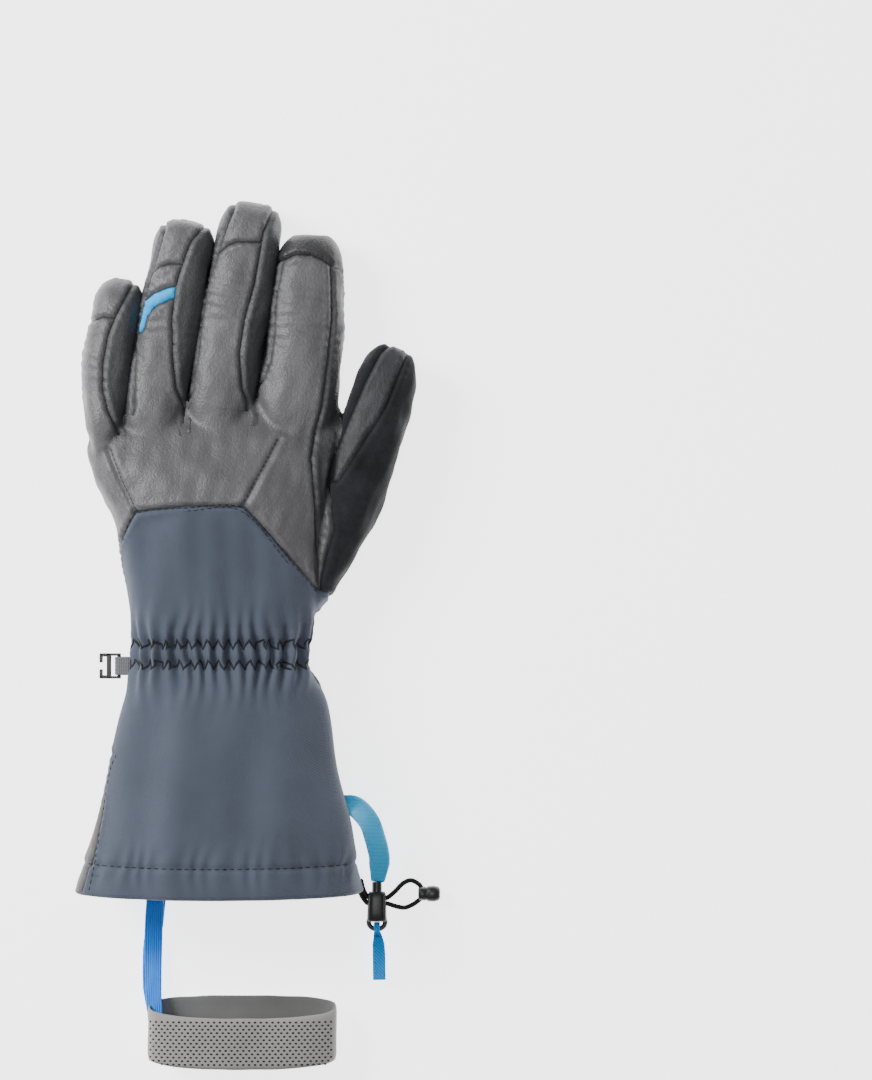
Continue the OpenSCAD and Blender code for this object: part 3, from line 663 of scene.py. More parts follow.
class Graph:
    """Short helpers for a node tree whose textures read metres."""

    def __init__(self, tree):
        self.tree = tree
        self.coords = tree.nodes.new("ShaderNodeTexCoord").outputs["Object"]

    def node(self, kind, **values):
        n = self.tree.nodes.new(kind)
        for key, value in values.items():
            if key in n.inputs:
                n.inputs[key].default_value = value
            else:
                setattr(n, key, value)
        return n

    def link(self, a, b):
        self.tree.links.new(a, b)

    def scaled(self, scale, rotation=(0, 0, 0)):
        n = self.node("ShaderNodeMapping")
        n.inputs["Scale"].default_value = scale if isinstance(scale, tuple) else (scale,) * 3
        n.inputs["Rotation"].default_value = rotation
        self.link(self.coords, n.inputs["Vector"])
        return n.outputs["Vector"]

    def noise(self, scale, detail=4.0, rough=0.55):
        n = self.node("ShaderNodeTexNoise")
        n.inputs["Scale"].default_value = scale
        n.inputs["Detail"].default_value = detail
        n.inputs["Roughness"].default_value = rough
        self.link(self.coords, n.inputs["Vector"])
        return n.outputs["Fac"]

    def cells(self, scale, feature="F1", vector=None):
        n = self.node("ShaderNodeTexVoronoi")
        n.feature = feature
        n.inputs["Scale"].default_value = scale
        self.link(vector or self.coords, n.inputs["Vector"])
        return n.outputs["Distance"]

    def waves(self, scale, direction, vector=None):
        n = self.node("ShaderNodeTexWave", wave_type="BANDS", bands_direction=direction)
        n.inputs["Scale"].default_value = scale
        self.link(vector or self.coords, n.inputs["Vector"])
        return n

    def math(self, operation, a, b):
        n = self.node("ShaderNodeMath")
        n.operation = operation
        for socket, value in zip(n.inputs, (a, b)):
            if isinstance(value, (int, float)):
                socket.default_value = value
            else:
                self.link(value, socket)
        return n.outputs[0]

    def total(self, *terms):
        """Sum of values, each times its weight."""
        result = None
        for value, weight in terms:
            term = self.math("MULTIPLY", value, weight)
            result = term if result is None else self.math("ADD", result, term)
        return result

    def tones(self, fac, colour, *stops):
        """Shades of one colour: each stop is a position and how bright the colour is there."""
        n = self.node("ShaderNodeValToRGB")
        ramp = n.color_ramp
        while len(ramp.elements) < len(stops):
            ramp.elements.new(0.5)
        for e, (at, factor) in zip(ramp.elements, stops):
            e.position = at
            e.color = (*[min(1.0, c * factor) for c in colour], 1)
        self.link(fac, n.inputs["Fac"])
        return n.outputs["Color"]

    def mapped(self, fac, lo, hi):
        n = self.node("ShaderNodeMapRange")
        n.inputs["To Min"].default_value = lo
        n.inputs["To Max"].default_value = hi
        self.link(fac, n.inputs["Value"])
        return n.outputs["Result"]

    def bump(self, shader, height, distance, strength=1.0):
        n = self.node("ShaderNodeBump")
        n.inputs["Strength"].default_value = strength
        n.inputs["Distance"].default_value = distance
        self.link(height, n.inputs["Height"])
        self.link(n.outputs["Normal"], shader.inputs["Normal"])


def colour_with_painted_seam_shade(g, colour, shader):
    """Links a colour to the shader, darkened along the sewn edges of a panel: painted shade for the
    seam grooves.
    """
    line = g.node("ShaderNodeAttribute", attribute_name="seam")
    mix = g.node("ShaderNodeMix", data_type="RGBA")
    # painted shade: the colour goes up to 85 % of the way to near-black on the seams
    g.link(g.math("MULTIPLY", line.outputs["Fac"], 0.85), mix.inputs["Factor"])
    colour_sockets = [s for s in mix.inputs if s.type == "RGBA"]
    g.link(colour, colour_sockets[0])
    colour_sockets[1].default_value = (0.004, 0.004, 0.005, 1)
    result = [s for s in mix.outputs if s.type == "RGBA"][0]
    g.link(result, shader.inputs["Base Color"])


def leather_nodes(tree, shader, colour, roughness):
    """Pores and fine creases, with a tone that drifts."""
    g = Graph(tree)
    pores = g.cells(1150)
    creases = g.math("MINIMUM", g.cells(360, "DISTANCE_TO_EDGE", g.scaled((1.0, 0.7, 1.0))), 0.2)
    tone = g.total((g.noise(45, 5), 0.75), (pores, 0.35))
    colour_with_painted_seam_shade(g, g.tones(tone, colour, (0.3, 0.8), (0.52, 1), (0.8, 1.2)), shader)
    height = g.total((pores, 0.5), (creases, 1.4), (g.noise(170, 5), 0.9))
    g.bump(shader, height, 0.0003, 0.65)
    g.link(g.mapped(g.noise(90, 3), roughness - 0.08, roughness + 0.10), shader.inputs["Roughness"])


def suede_nodes(tree, shader, colour, roughness):
    """Brushed nap."""
    g = Graph(tree)
    nap = g.noise(70, 6, 0.7)
    fine = g.noise(1500, 3, 0.7)
    tone = g.total((nap, 0.7), (fine, 0.3))
    colour_with_painted_seam_shade(g, g.tones(tone, colour, (0.36, 0.6), (0.5, 1), (0.66, 1.6)), shader)
    g.bump(shader, g.math("ADD", fine, nap), 0.0003, 0.5)


def softshell_nodes(tree, shader, colour, roughness):
    """Fine stretch weave."""
    g = Graph(tree)
    weave = g.waves(620, "DIAGONAL")
    weave.inputs["Distortion"].default_value = 0.6
    threads = g.math("MULTIPLY", weave.outputs["Fac"], g.waves(760, "X").outputs["Fac"])
    tone = g.total((g.noise(26, 3), 0.8), (threads, 0.2))
    colour_with_painted_seam_shade(g, g.tones(tone, colour, (0.25, 0.84), (0.5, 1), (0.75, 1.14)), shader)
    g.bump(shader, g.total((threads, 1.0), (g.noise(240, 4), 0.8)), 0.00012, 0.6)


def rib_nodes(pitch, along="Y", depth=0.0003):
    """Woven ribs across a strap, `pitch` millimetres apart."""

    def build(tree, shader, colour, roughness):
        g = Graph(tree)
        wave = g.waves(RIB_SCALE / pitch, along, g.scaled(10.0))
        wave.inputs["Distortion"].default_value = 0.5
        wave.inputs["Detail Scale"].default_value = 30
        tone = g.total((wave.outputs["Fac"], 0.6), (g.noise(2200, 3, 0.6), 0.5))
        ramp = g.tones(tone, colour, (0.15, 0.6), (0.55, 1), (0.95, 1.35))
        g.link(ramp, shader.inputs["Base Color"])
        g.bump(shader, tone, depth, 0.7)

    return build


def plastic_nodes(tree, shader, colour, roughness):
    """Moulded surface with a faint unevenness."""
    g = Graph(tree)
    spark = g.noise(1600, 2)
    g.link(g.tones(g.noise(120, 3), colour, (0.3, 0.8), (0.7, 1.5)), shader.inputs["Base Color"])
    g.bump(shader, spark, 0.00006, 0.4)
    g.link(g.mapped(g.noise(300, 3), roughness - 0.08, roughness + 0.1), shader.inputs["Roughness"])


def grid_nodes(tree, shader, colour, roughness):
    """Grip textile: three families of lines, a pitch apart, form small triangles."""
    g = Graph(tree)
    lines = None
    for angle in (0.0, 60.0, 120.0):
        turn = (0, 0, math.radians(angle + 8))
        wave = g.waves(1.0, "X", g.scaled(GRID_STRETCH, turn))
        ridge = g.math("POWER", wave.outputs["Fac"], 14.0)
        lines = ridge if lines is None else g.math("MAXIMUM", lines, ridge)
    grain = g.noise(1400, 3, 0.7)
    tone = g.total((lines, 0.75), (grain, 0.3))
    ramp = g.tones(tone, colour, (0.1, 0.7), (0.45, 1), (0.95, 2.6))
    g.link(ramp, shader.inputs["Base Color"])
    g.bump(shader, g.total((lines, 1.0), (grain, 0.5)), 0.0004, 0.8)


def fleece_nodes(tree, shader, colour, roughness):
    """Short soft tufts."""
    g = Graph(tree)
    tufts = g.noise(520, 6, 0.75)
    g.link(g.tones(tufts, colour, (0.3, 0.5), (0.7, 1.7)), shader.inputs["Base Color"])
    g.bump(shader, tufts, 0.0008, 0.8)


def metal_nodes(tree, shader, colour, roughness):
    shader.inputs["Metallic"].default_value = 1.0
    plastic_nodes(tree, shader, colour, roughness)


BACK_LEATHER = material("back_leather", (0.090, 0.089, 0.095), 0.46, leather_nodes, 0.5)
PALM_LEATHER = material("palm_leather", (0.058, 0.059, 0.064), 0.5, leather_nodes, 0.45)
CAP_LEATHER = material("cap_leather", (0.032, 0.032, 0.034), 0.45, leather_nodes, 0.5)
SUEDE = material("thumb_suede", (0.014, 0.015, 0.018), 0.85, suede_nodes, 0.2, sheen=0.08)
THUMB_LEATHER = material("thumb_leather", (0.030, 0.032, 0.036), 0.55, leather_nodes, 0.35)
SOFTSHELL = material("softshell", (0.070, 0.084, 0.116), 0.8, softshell_nodes, 0.3, sheen=0.06)
GUSSET = material("gusset", (0.165, 0.157, 0.157), 0.8, softshell_nodes, 0.25)
GRIP = material("grip_textile", (0.022, 0.019, 0.017), 0.75, grid_nodes, 0.35)
BLUE_RIBBON = material("blue_ribbon", (0.012, 0.50, 1.0), 0.42, rib_nodes(0.7), 0.5, sheen=0.1)
BLUE_TAPE = material("blue_tape", (0.012, 0.44, 1.0), 0.7, suede_nodes, 0.3)
BLUE_WEBBING = material("blue_webbing", (0.004, 0.19, 0.80), 0.6, rib_nodes(1.0, "X"), 0.35)
GREY_WEBBING = material("grey_webbing", (0.16, 0.165, 0.18), 0.75, rib_nodes(0.9, "X"), 0.3)
BLUE_TAB = material("blue_tab", (0.008, 0.34, 1.0), 0.6, rib_nodes(0.85, "DIAGONAL"), 0.35)
BAND_FABRIC = material("band_fabric", (0.33, 0.322, 0.312), 0.85, softshell_nodes, 0.3)
# inside of the band, half as bright as its outside: partly a darker inside face, partly painted shade
# of the band's hollow
BAND_INSIDE_TONE_AND_SHADE = material("band_inside_tone_and_shade", (0.15, 0.152, 0.148), 0.9, softshell_nodes, 0.25)
# near-black discs for the band's holes: painted shade of their insides
BAND_HOLE_PAINTED_SHADE = material("band_hole_painted_shade", (0.035, 0.035, 0.035), 0.9, fleece_nodes, 0.2)
BLACK_PLASTIC = material("black_plastic", (0.012, 0.012, 0.013), 0.38, plastic_nodes, 0.5)
BLACK_CORD = material("black_cord", (0.013, 0.013, 0.014), 0.7, rib_nodes(0.8, "DIAGONAL"), 0.3)
THREAD = material("thread", (0.018, 0.019, 0.022), 0.65, rib_nodes(0.5, "DIAGONAL"), 0.3)
BLUE_THREAD = material("blue_thread", (0.012, 0.10, 0.36), 0.6, rib_nodes(0.5, "DIAGONAL"), 0.3)
LINING = material("lining", (0.035, 0.037, 0.042), 0.95, fleece_nodes, 0.1)
FILL = material("fill", (0.20, 0.21, 0.22), 0.95, fleece_nodes, 0.1)
STEEL = material("steel", (0.6, 0.6, 0.6), 0.3, metal_nodes)


# ---------------------------------------------------------------- skins
def end_y(p):
    """Y of the cuff's end over or under a point."""
    return HEM_Y + 3.0 - 3.5 * np.sqrt(np.clip(1 - (p[:, 0] / 75) ** 2, 0, 1))


FINGER_PARTS = {name: loft(finger_rings(f)) for name, f in FINGERS.items()}
SLAB_PART = loft(slab_rings(dense(SLAB, RING_STEP)))
SMOOTHING = 10
SURFACES = {}


class Surface:
    """A finished skin that pieces are cut from and that trims are laid on."""

    def __init__(self, verts, faces, labels):
        verts, self.seam = sink_seams(verts, faces, labels)
        self.verts, self.faces, self.labels = verts, faces, labels
        self.tree = BVHTree.FromPolygons([tuple(v) for v in verts], faces)

    def point(self, x, y, below=False, lift=0.0):
        """Point and normal of the skin over (or, if below, under) a place."""
        start = Vector((x, y, -60.0 if below else 120.0))
        hit, normal, _, _ = self.tree.ray_cast(start, Vector((0, 0, 1.0 if below else -1.0)))
        if hit is None:
            return None
        if (normal.z > 0) == below:
            normal = -normal
        return hit + normal * lift, normal

    def point_around(self, angle, y, lift=0.0):
        """Point and normal of the skin in a direction round the wrist's middle."""
        outward = Vector((math.cos(angle), 0.0, math.sin(angle)))
        start = Vector((0.0, y, 21.0)) + outward * 100
        hit, normal, _, _ = self.tree.ray_cast(start, -outward)
        if normal.dot(outward) < 0:
            normal = -normal
        return hit + normal * lift, normal


def finger_skin(name, verts, faces):
    """Cuts one finger from a union and labels its panels; returns where its two bodies part."""
    f = FINGERS[name]

    def mine(p):
        s, u, w = finger_coordinates(f, p)
        return (s > -9) & (np.abs(u) < w + 3) & (p[:, 1] > 15)

    def root_field(p):
        s, u, w = finger_coordinates(f, p)
        return s + 6.5 * smoothstep(0.80, 0.92, np.abs(u) / w)

    def side_field(p):
        return np.maximum(p[:, 0] - at_y(f["right"], p[:, 1]), at_y(f["left"], p[:, 1]) - p[:, 0])

    def cap_field(p):
        top = p[:, 1] - at_x(f["cap"], p[:, 0])
        if name != "index":
            return np.minimum(top, p[:, 2] - SEAM_Z)
        return top + 12.0 * (1 - smoothstep(5, 22, p[:, 2]))

    def tape_field(p):
        return np.minimum(3.0 - polyline_distance(p, RING_TAPE), -side_field(p))

    def split_field(p):
        return finger_coordinates(f, p)[0] - finger_split(f)

    verts, faces = kept(verts, faces, mine)
    verts = displaced(verts, faces, finger_relief(f, verts))
    fields = [root_field, side_field, cap_field, lambda p: p[:, 2] - SEAM_Z, split_field]
    if name == "ring":
        fields.append(tape_field)
    for field in fields:
        verts, faces = cut(verts, faces, field)
    verts, faces = kept(verts, faces, lambda p: root_field(p) > 0)
    c = centres(verts, faces)
    labels = np.where(c[:, 2] > SEAM_Z, "back", "palm")
    labels = np.where(side_field(c) > 0, "side", labels)
    if name == "ring":
        labels = np.where((labels == "back") & (tape_field(c) > 0), "tape", labels)
    capped = cap_field(c) > 0
    labels = np.where(capped & ((labels == "back") | (name == "index")), "cap", labels)
    SURFACES[name] = Surface(verts, faces, labels)
    return split_field


def bend_lengths(f):
    """How far the knuckle's bend runs past the knuckle, and the middle joint's to each side."""
    l0 = finger_frame(f, 0)[2]
    return 0.45 * l0, min(13.0, 0.33 * l0)


def finger_split(f):
    """Distance from the knuckle where both neighbouring bends have died out."""
    knuckle_reach, middle_reach = bend_lengths(f)
    return 0.5 * (knuckle_reach + finger_frame(f, 0)[2] - middle_reach)


def bend_finger(obj, name, part):
    """Bakes a finger's piece's placement into its mesh, for the knuckle's piece (part 0) or the middle
    joint's (part 1); no joint is set up.
    """
    f = FINGERS[name]
    origin, angle, _ = finger_frame(f, part)
    if part == 0:
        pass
    else:
        angle = (finger_frame(f, 0)[1] + angle) / 2
    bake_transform(obj)


FINGER_LOOK = {
    "back": (BACK_LEATHER, "back_leather"),
    "palm": (PALM_LEATHER, "palm_leather"),
    "side": (PALM_LEATHER, "palm_leather"),
    "cap": (BACK_LEATHER, "back_leather"),
    "tape": (BLUE_TAPE, "blue_ribbon"),
}


def finger_pieces(name, split_field):
    """One piece for each panel of a finger on each side of its split."""
    skin = SURFACES[name]
    for label, (faces, normals) in split_panels(skin.verts, skin.faces, skin.labels).items():
        look, slot = FINGER_LOOK[label]
        if name == "index" and label == "cap":
            look, slot = CAP_LEATHER, "touch_leather"
        far = split_field(centres(skin.verts, faces)) > 0
        for part, side, wanted in ((0, "inner", ~far), (1, "outer", far)):
            mine = chosen(faces, wanted)
            if len(mine) < 4:
                continue
            piece = f"{name}_{label}_{side}"
            obj = panel_object(piece, skin.verts, mine, normals, skin.seam, look)
            bend_finger(obj, name, part)
            stem = name + "_tip" * part
            if label == "back":
                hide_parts(stem + "_back")
            elif label == "palm":
                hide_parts(stem + "_palm", stem + "_liner")
            elif label == "tape":
                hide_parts("ring_tape")
            elif label == "cap" and name == "index":
                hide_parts("index_tip_cap")


def build_finger_skins():
    """Fingers are joined to the hand two by two, so that neighbours don't melt together."""
    for group in (("index", "ring"), ("middle", "little")):
        parts = [SLAB_PART] + [FINGER_PARTS[n] for n in group]
        verts, faces = remeshed(parts, VOXEL, SMOOTHING)
        for name in group:
            finger_pieces(name, finger_skin(name, verts, faces))


def build_hand_skin():
    """The union of hand, cuff, thumb and finger roots, cut and labelled panel by panel."""
    cuff = loft(slab_rings(dense(CUFF, RING_STEP)))
    parts = [SLAB_PART, cuff, loft(thumb_rings())]
    for f in FINGERS.values():
        inner_rings = int((f["inside"] + 20) / RING_STEP)
        parts.append(loft(finger_rings(f)[:inner_rings]))
    verts, faces = remeshed(parts, VOXEL, SMOOTHING)
    verts = displaced(verts, faces, relief(verts))
    verts, faces = cut(verts, faces, nearest_root)
    verts, faces = kept(verts, faces, lambda p: nearest_root(p) < 0)
    verts, faces = cut(verts, faces, lambda p: p[:, 1] - end_y(p))
    verts, faces = kept(verts, faces, lambda p: p[:, 1] > end_y(p))
    for field in (
        panel_field, thumb_field, back_field, thumb_panel_field, patch_field, gusset_field, thumb_split
    ):
        verts, faces = cut(verts, faces, field)
    c = centres(verts, faces)
    labels = np.where(back_field(c) > 0, "back_leather", "palm_leather")
    labels = np.where(patch_field(c) > 0, "grip_patch", labels)
    labels = np.where(thumb_field(c) > 0, "thumb_side", labels)
    labels = np.where((thumb_field(c) > 0) & (thumb_panel_field(c) > 0), "thumb_panel", labels)
    labels = np.where(panel_field(c) < 0, "softshell", labels)
    labels = np.where(gusset_field(c) > 0, "gusset", labels)
    SURFACES["hand"] = Surface(verts, faces, labels)


def thumb_split(p):
    """Distance along the thumb past the place where its two pieces meet."""
    angle = heading(THUMB_MIDDLE, THUMB_TIP)
    return (p[:, :2] - THUMB_MIDDLE) @ (math.sin(angle), math.cos(angle)) + 13.0


def bend_wrist(obj):
    """Bakes a piece's placement into its mesh; no wrist joint is set up."""
    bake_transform(obj)


def bend_thumb(obj, part):
    """Bakes a thumb's piece's placement into its mesh, alike for its swing (part 0) and its middle
    joint (part 1); no joint is set up.
    """
    if part == 0:
        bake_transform(obj)
        return
    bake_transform(obj)


HAND_LOOK = {
    "back_leather": (BACK_LEATHER, "back_leather", ("back_hand", "hand_insulation")),
    "palm_leather": (PALM_LEATHER, "palm_leather", ("palm_leather", "hand_lining")),
    "grip_patch": (GRIP, "grip_textile", ("palm_patch",)),
    "softshell": (SOFTSHELL, "softshell", ("back_panel", "gauntlet_top", "gauntlet_under", "cuff_hem")),
    "gusset": (GUSSET, "gusset_fabric", ("side_gusset",)),
    "thumb_side": (SUEDE, "thumb_suede", ("thumb_palm", "thumb_tip_palm")),
    "thumb_panel": (THUMB_LEATHER, "thumb_suede", ("thumb_back", "thumb_tip_back")),
}
THUMB_LINERS = ("thumb_liner", "thumb_tip_liner")


def hand_pieces():
    """One piece for each panel of the hand, and two for each panel of the thumb."""
    skin = SURFACES["hand"]
    for label, (faces, normals) in split_panels(skin.verts, skin.faces, skin.labels).items():
        look, slot, stands_for = HAND_LOOK[label]
        if not label.startswith("thumb"):
            obj = panel_object(label + "_panel", skin.verts, faces, normals, skin.seam, look)
            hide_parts(*stands_for)
            if label == "softshell":
                bend_wrist(obj)
            else:
                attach(obj, "gauntlet" if label == "gusset" else "hand")
            continue
        far = thumb_split(centres(skin.verts, faces)) > 0
        for part, side, wanted in ((0, "inner", ~far), (1, "outer", far)):
            mine = chosen(faces, wanted)
            if len(mine) < 4:
                continue
            obj = panel_object(f"{label}_{side}", skin.verts, mine, normals, skin.seam, look)
            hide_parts(stands_for[part])
            if label == "thumb_side":
                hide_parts(THUMB_LINERS[part])
            bend_thumb(obj, part)


build_finger_skins()
build_hand_skin()
hand_pieces()


# ---------------------------------------------------------------- thread, straps and cords
def smooth_path(points, step):
    """Evenly spaced points along a Catmull-Rom curve."""
    pts = [np.array(p, float) for p in points]
    pts = [2 * pts[0] - pts[1]] + pts + [2 * pts[-1] - pts[-2]]
    out = []
    for a, b, c, d in zip(pts, pts[1:], pts[2:], pts[3:]):
        for t in np.linspace(0, 1, 12, endpoint=False):
            square = (2 * a - 5 * b + 4 * c - d) * t**2
            cube = (3 * b - a - 3 * c + d) * t**3
            out.append(0.5 * (2 * b + (c - a) * t + square + cube))
    out.append(pts[-2])
    out = np.array(out)
    along = np.concatenate([[0], np.cumsum(np.linalg.norm(np.diff(out, axis=0), axis=1))])
    count = max(2, int(round(along[-1] / step)) + 1)
    at = np.linspace(0, along[-1], count)
    return np.stack([np.interp(at, along, out[:, k]) for k in range(out.shape[1])], axis=1)


def tube(points, radius, sides=10, ups=None, flat=1.0, ends=0.6):
    """Closed tube through points, squeezed by `flat` along ups and drawn in to `ends` at its ends."""
    points = np.asarray(points, float)
    along = np.gradient(points, axis=0)
    along /= np.linalg.norm(along, axis=1, keepdims=True)
    rings = []
    for i, (p, d) in enumerate(zip(points, along)):
        up = np.array([0.0, 0.0, 1.0]) if ups is None else np.asarray(ups[i], float)
        side = np.cross(d, up)
        side /= max(1e-6, np.linalg.norm(side))
        up = np.cross(side, d)
        r = radius * (ends if i in (0, len(points) - 1) else 1.0)
        t = np.linspace(0, 2 * np.pi, sides, endpoint=False)
        rings.append(p + r * np.outer(np.cos(t), side) + r * flat * np.outer(np.sin(t), up))
    return loft(rings)


def strap(points, half_widths, half_thickness, rolls=0.0, ridges=0, depth=0.12, sides=None):
    """Closed flat strap through points, rolled about its line and ridged along both faces.

    sides gives the direction across the strap at every point where it isn't level.
    """
    points = np.asarray(points, float)
    n = len(points)
    along = np.gradient(points, axis=0)
    along /= np.linalg.norm(along, axis=1, keepdims=True)
    widths = np.interp(np.linspace(0, 1, n), np.linspace(0, 1, len(half_widths)), half_widths)
    rolls = np.broadcast_to(rolls, n)
    columns = max(8, ridges * 4)
    across = np.linspace(-1, 1, columns + 1)
    relief = depth * np.cos(across * np.pi * ridges) if ridges else np.zeros(columns + 1)
    round_off = np.clip((1 - np.abs(across)) / 0.12, 0, 1) ** 0.5
    rings = []
    for p, d, w, roll, k in zip(points, along, widths, rolls, range(n)):
        side = np.cross(d, (0, 0, 1)) if sides is None else np.cross(d, np.cross(sides[k], d))
        side /= max(1e-6, np.linalg.norm(side))
        up = np.cross(side, d)
        cos, sin = math.cos(roll), math.sin(roll)
        side, up = side * cos + up * sin, up * cos - side * sin
        half = half_thickness * (0.35 + 0.65 * round_off) + relief * round_off
        top = p + np.outer(across * w, side) + np.outer(half, up)
        low = p + np.outer(across * w, side) - np.outer(half, up)
        rings.append(np.concatenate([top, low[::-1]]))
    return loft(rings)


def dashes(surface, path, below=False, length=2.3, gap=1.0, radius=0.24, lift=0.12):
    """Running stitches along a path in X and Y, laid on a skin."""
    spacing = 0.5
    line = smooth_path(path, spacing)
    parts = []
    for start in np.arange(0, len(line) * spacing - length, length + gap):
        wanted = [start, start + length / 2, start + length]
        marks = [line[min(len(line) - 1, int(w / spacing))] for w in wanted]
        hits = [surface.point(x, y, below, lift) for x, y in marks]
        if any(h is None for h in hits) or any(abs(h[1].z) < 0.12 for h in hits):
            continue
        pts = np.array([h[0] for h in hits])
        ups = np.array([h[1] for h in hits])
        pts[[0, 2]] -= ups[[0, 2]] * (lift + 0.1)
        parts.append(tube(pts, radius, 6, ups, ends=0.7))
    return parts


def zigzag(surface, y, pitch=6.7, height=2.4, radius=0.55, steps=4):
    """A zigzag row right round the wrist, two threads thick, sunk a little into the gathers."""
    angles = np.linspace(0, 2 * np.pi, 361)
    outline = np.array([surface.point_around(a, y)[0] for a in angles])
    travelled = np.concatenate([[0], np.cumsum(np.linalg.norm(np.diff(outline, axis=0), axis=1))])
    count = 2 * round(travelled[-1] / pitch) * steps
    pts, ups = [], []
    for k in range(count + 1):
        corner, part = divmod(k, steps)
        rise = height * (1 - 2 * part / steps) * (1 if corner % 2 else -1)
        angle = np.interp(travelled[-1] * k / count, travelled, angles)
        place, normal = surface.point_around(angle, y + rise, 0.1)
        pts.append(tuple(place))
        ups.append(tuple(normal))
    return [tube(pts, radius, 7, ups, flat=0.6)]


def trim(name, parts, look, body=None, stands_for=()):
    """One object from closed parts, riding a body."""
    obj = new_object(name, *joined(parts), look)
    if stands_for:
        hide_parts(*stands_for)
    if body:
        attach(obj, body)
    return obj


def offset_path(path, d):
    """A polyline in X and Y moved sideways, to its right for a positive distance."""
    pts = np.array(path, float)
    t = np.gradient(pts, axis=0)
    t /= np.linalg.norm(t, axis=1, keepdims=True)
    return [tuple(p) for p in pts + d * np.stack([t[:, 1], -t[:, 0]], axis=1)]


def polygon_inset(outline, d):
    """A closed outline drawn in by a distance."""
    pts = np.array(list(outline) + [outline[0]], float)
    area = np.sum(pts[:-1, 0] * pts[1:, 1] - pts[1:, 0] * pts[:-1, 1])
    return offset_path(pts, -d if area > 0 else d)


def stitching():
    """All the thread: wrist and softshell rows, hem, darts, grip patch and index cap."""
    hand = SURFACES["hand"]
    edge = [p for p in PANEL_EDGE if -50 < p[0] < 50]
    rows = dashes(hand, offset_path(edge, 1.3)) + dashes(hand, offset_path(edge[2:-1], 2.7))
    for row in WRIST_ROWS:
        rows += zigzag(hand, row)
    bend_wrist(trim("wrist_and_panel_stitching", rows, THREAD))
    rows = []
    xs = np.linspace(-65, 67, 60)
    for below in (False, True):
        rows += dashes(hand, [(x, float(hem_line(x))) for x in xs], below, 2.6, 1.1, lift=0.25)
    rows += dashes(hand, offset_path(GUSSET_EDGE, -1.3))
    trim("hem_stitching", rows, THREAD, "gauntlet")
    rows = []
    for dart, side in zip(DARTS, (-1.1, 1.1)):
        rows += dashes(hand, offset_path(dart, side), length=1.7, gap=0.7, radius=0.2)
    border = polygon_inset(PATCH, 1.3)
    rows += dashes(hand, border, below=True, length=2.2, gap=0.9, radius=0.22)
    trim("hand_stitching", rows, THREAD, "hand")
    across = [(x, at_x(FINGERS["index"]["cap"], x) + 1.6) for x in np.linspace(32, 53, 12)]
    rows = dashes(SURFACES["index"], across, length=1.6, gap=0.7, radius=0.2)
    bend_finger(trim("index_cap_stitching", rows, THREAD), "index", 1)


# ---------------------------------------------------------------- the cuff's fold and lining
def hem_fold():
    """The softshell turned in over the cuff's end."""
    skin = SURFACES["hand"]
    centre = np.array([-0.6, 31.2])
    rim = skin.verts[np.abs(skin.verts[:, 1] - end_y(skin.verts)) < 0.12]
    angle = np.arctan2(rim[:, 2] - centre[1], rim[:, 0] - centre[0])
    order = np.argsort(angle)
    rim, angle = rim[order], angle[order]
    steps = np.linspace(-np.pi, np.pi, 180, endpoint=False)
    loop = np.stack([np.interp(steps, angle, rim[:, k], period=2 * np.pi) for k in range(3)], axis=1)
    inward = np.stack([centre[0] - loop[:, 0], np.zeros(len(loop)), centre[1] - loop[:, 2]], axis=1)
    inward /= np.linalg.norm(inward, axis=1, keepdims=True)
    # How far in from the skin, and how far along Y, each row of the fold lies.
    profile = [
        (-0.15, 0.5), (0.1, -0.6), (0.9, -1.3), (2.1, -1.5), (3.1, -0.9), (3.7, 0.6), (4.0, 6.0),
        (3.0, 9.0),
    ]
    rings = [loop + inward * i + np.array([0, y, 0]) for i, y in profile]
    verts, faces = loft(rings)
    fold = new_object("hem_fold", verts, faces[:-2], SOFTSHELL)
    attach(fold, "gauntlet")


def cuff_lining():
    """Fleece sock inside the cuff, a little wavy round its girth."""
    steps = 96
    t = np.linspace(0, 2 * np.pi, steps, endpoint=False)
    rings = []
    for y, cx, w, h, cz in dense(CUFF, 3.0):
        if -189 < y < -104:
            ring = section((cx, y, cz), 0, w - 4.6, h - 4.4, steps, p=0.78)
            ring *= 1 + 0.012 * np.sin(9 * t + y * 0.2)[:, None] * np.array([1, 0, 0])
            rings.append(ring)
    verts, faces = loft(rings)
    lining = new_object("cuff_lining", verts, [f[::-1] for f in faces[:-2]] + [faces[-1]], LINING)
    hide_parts("gauntlet_lining", "gauntlet_insulation", "wrist_elastic")
    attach(lining, "gauntlet")


# ---------------------------------------------------------------- hardware at the hem
def rounded_box(lo, hi, bevel, segments=3):
    """A box with rounded edges, as a mesh part."""
    bm = bmesh.new()
    bmesh.ops.create_cube(bm, size=1.0)
    lo, hi = np.array(lo, float), np.array(hi, float)
    for v in bm.verts:
        v.co = (lo + hi) / 2 + np.array(v.co) * (hi - lo)
    bmesh.ops.bevel(bm, geom=bm.edges[:], offset=bevel, segments=segments, affect="EDGES", profile=0.6)
    bm.verts.index_update()
    out = np.array([v.co for v in bm.verts]), [tuple(v.index for v in f.verts) for f in bm.faces]
    bm.free()
    return out


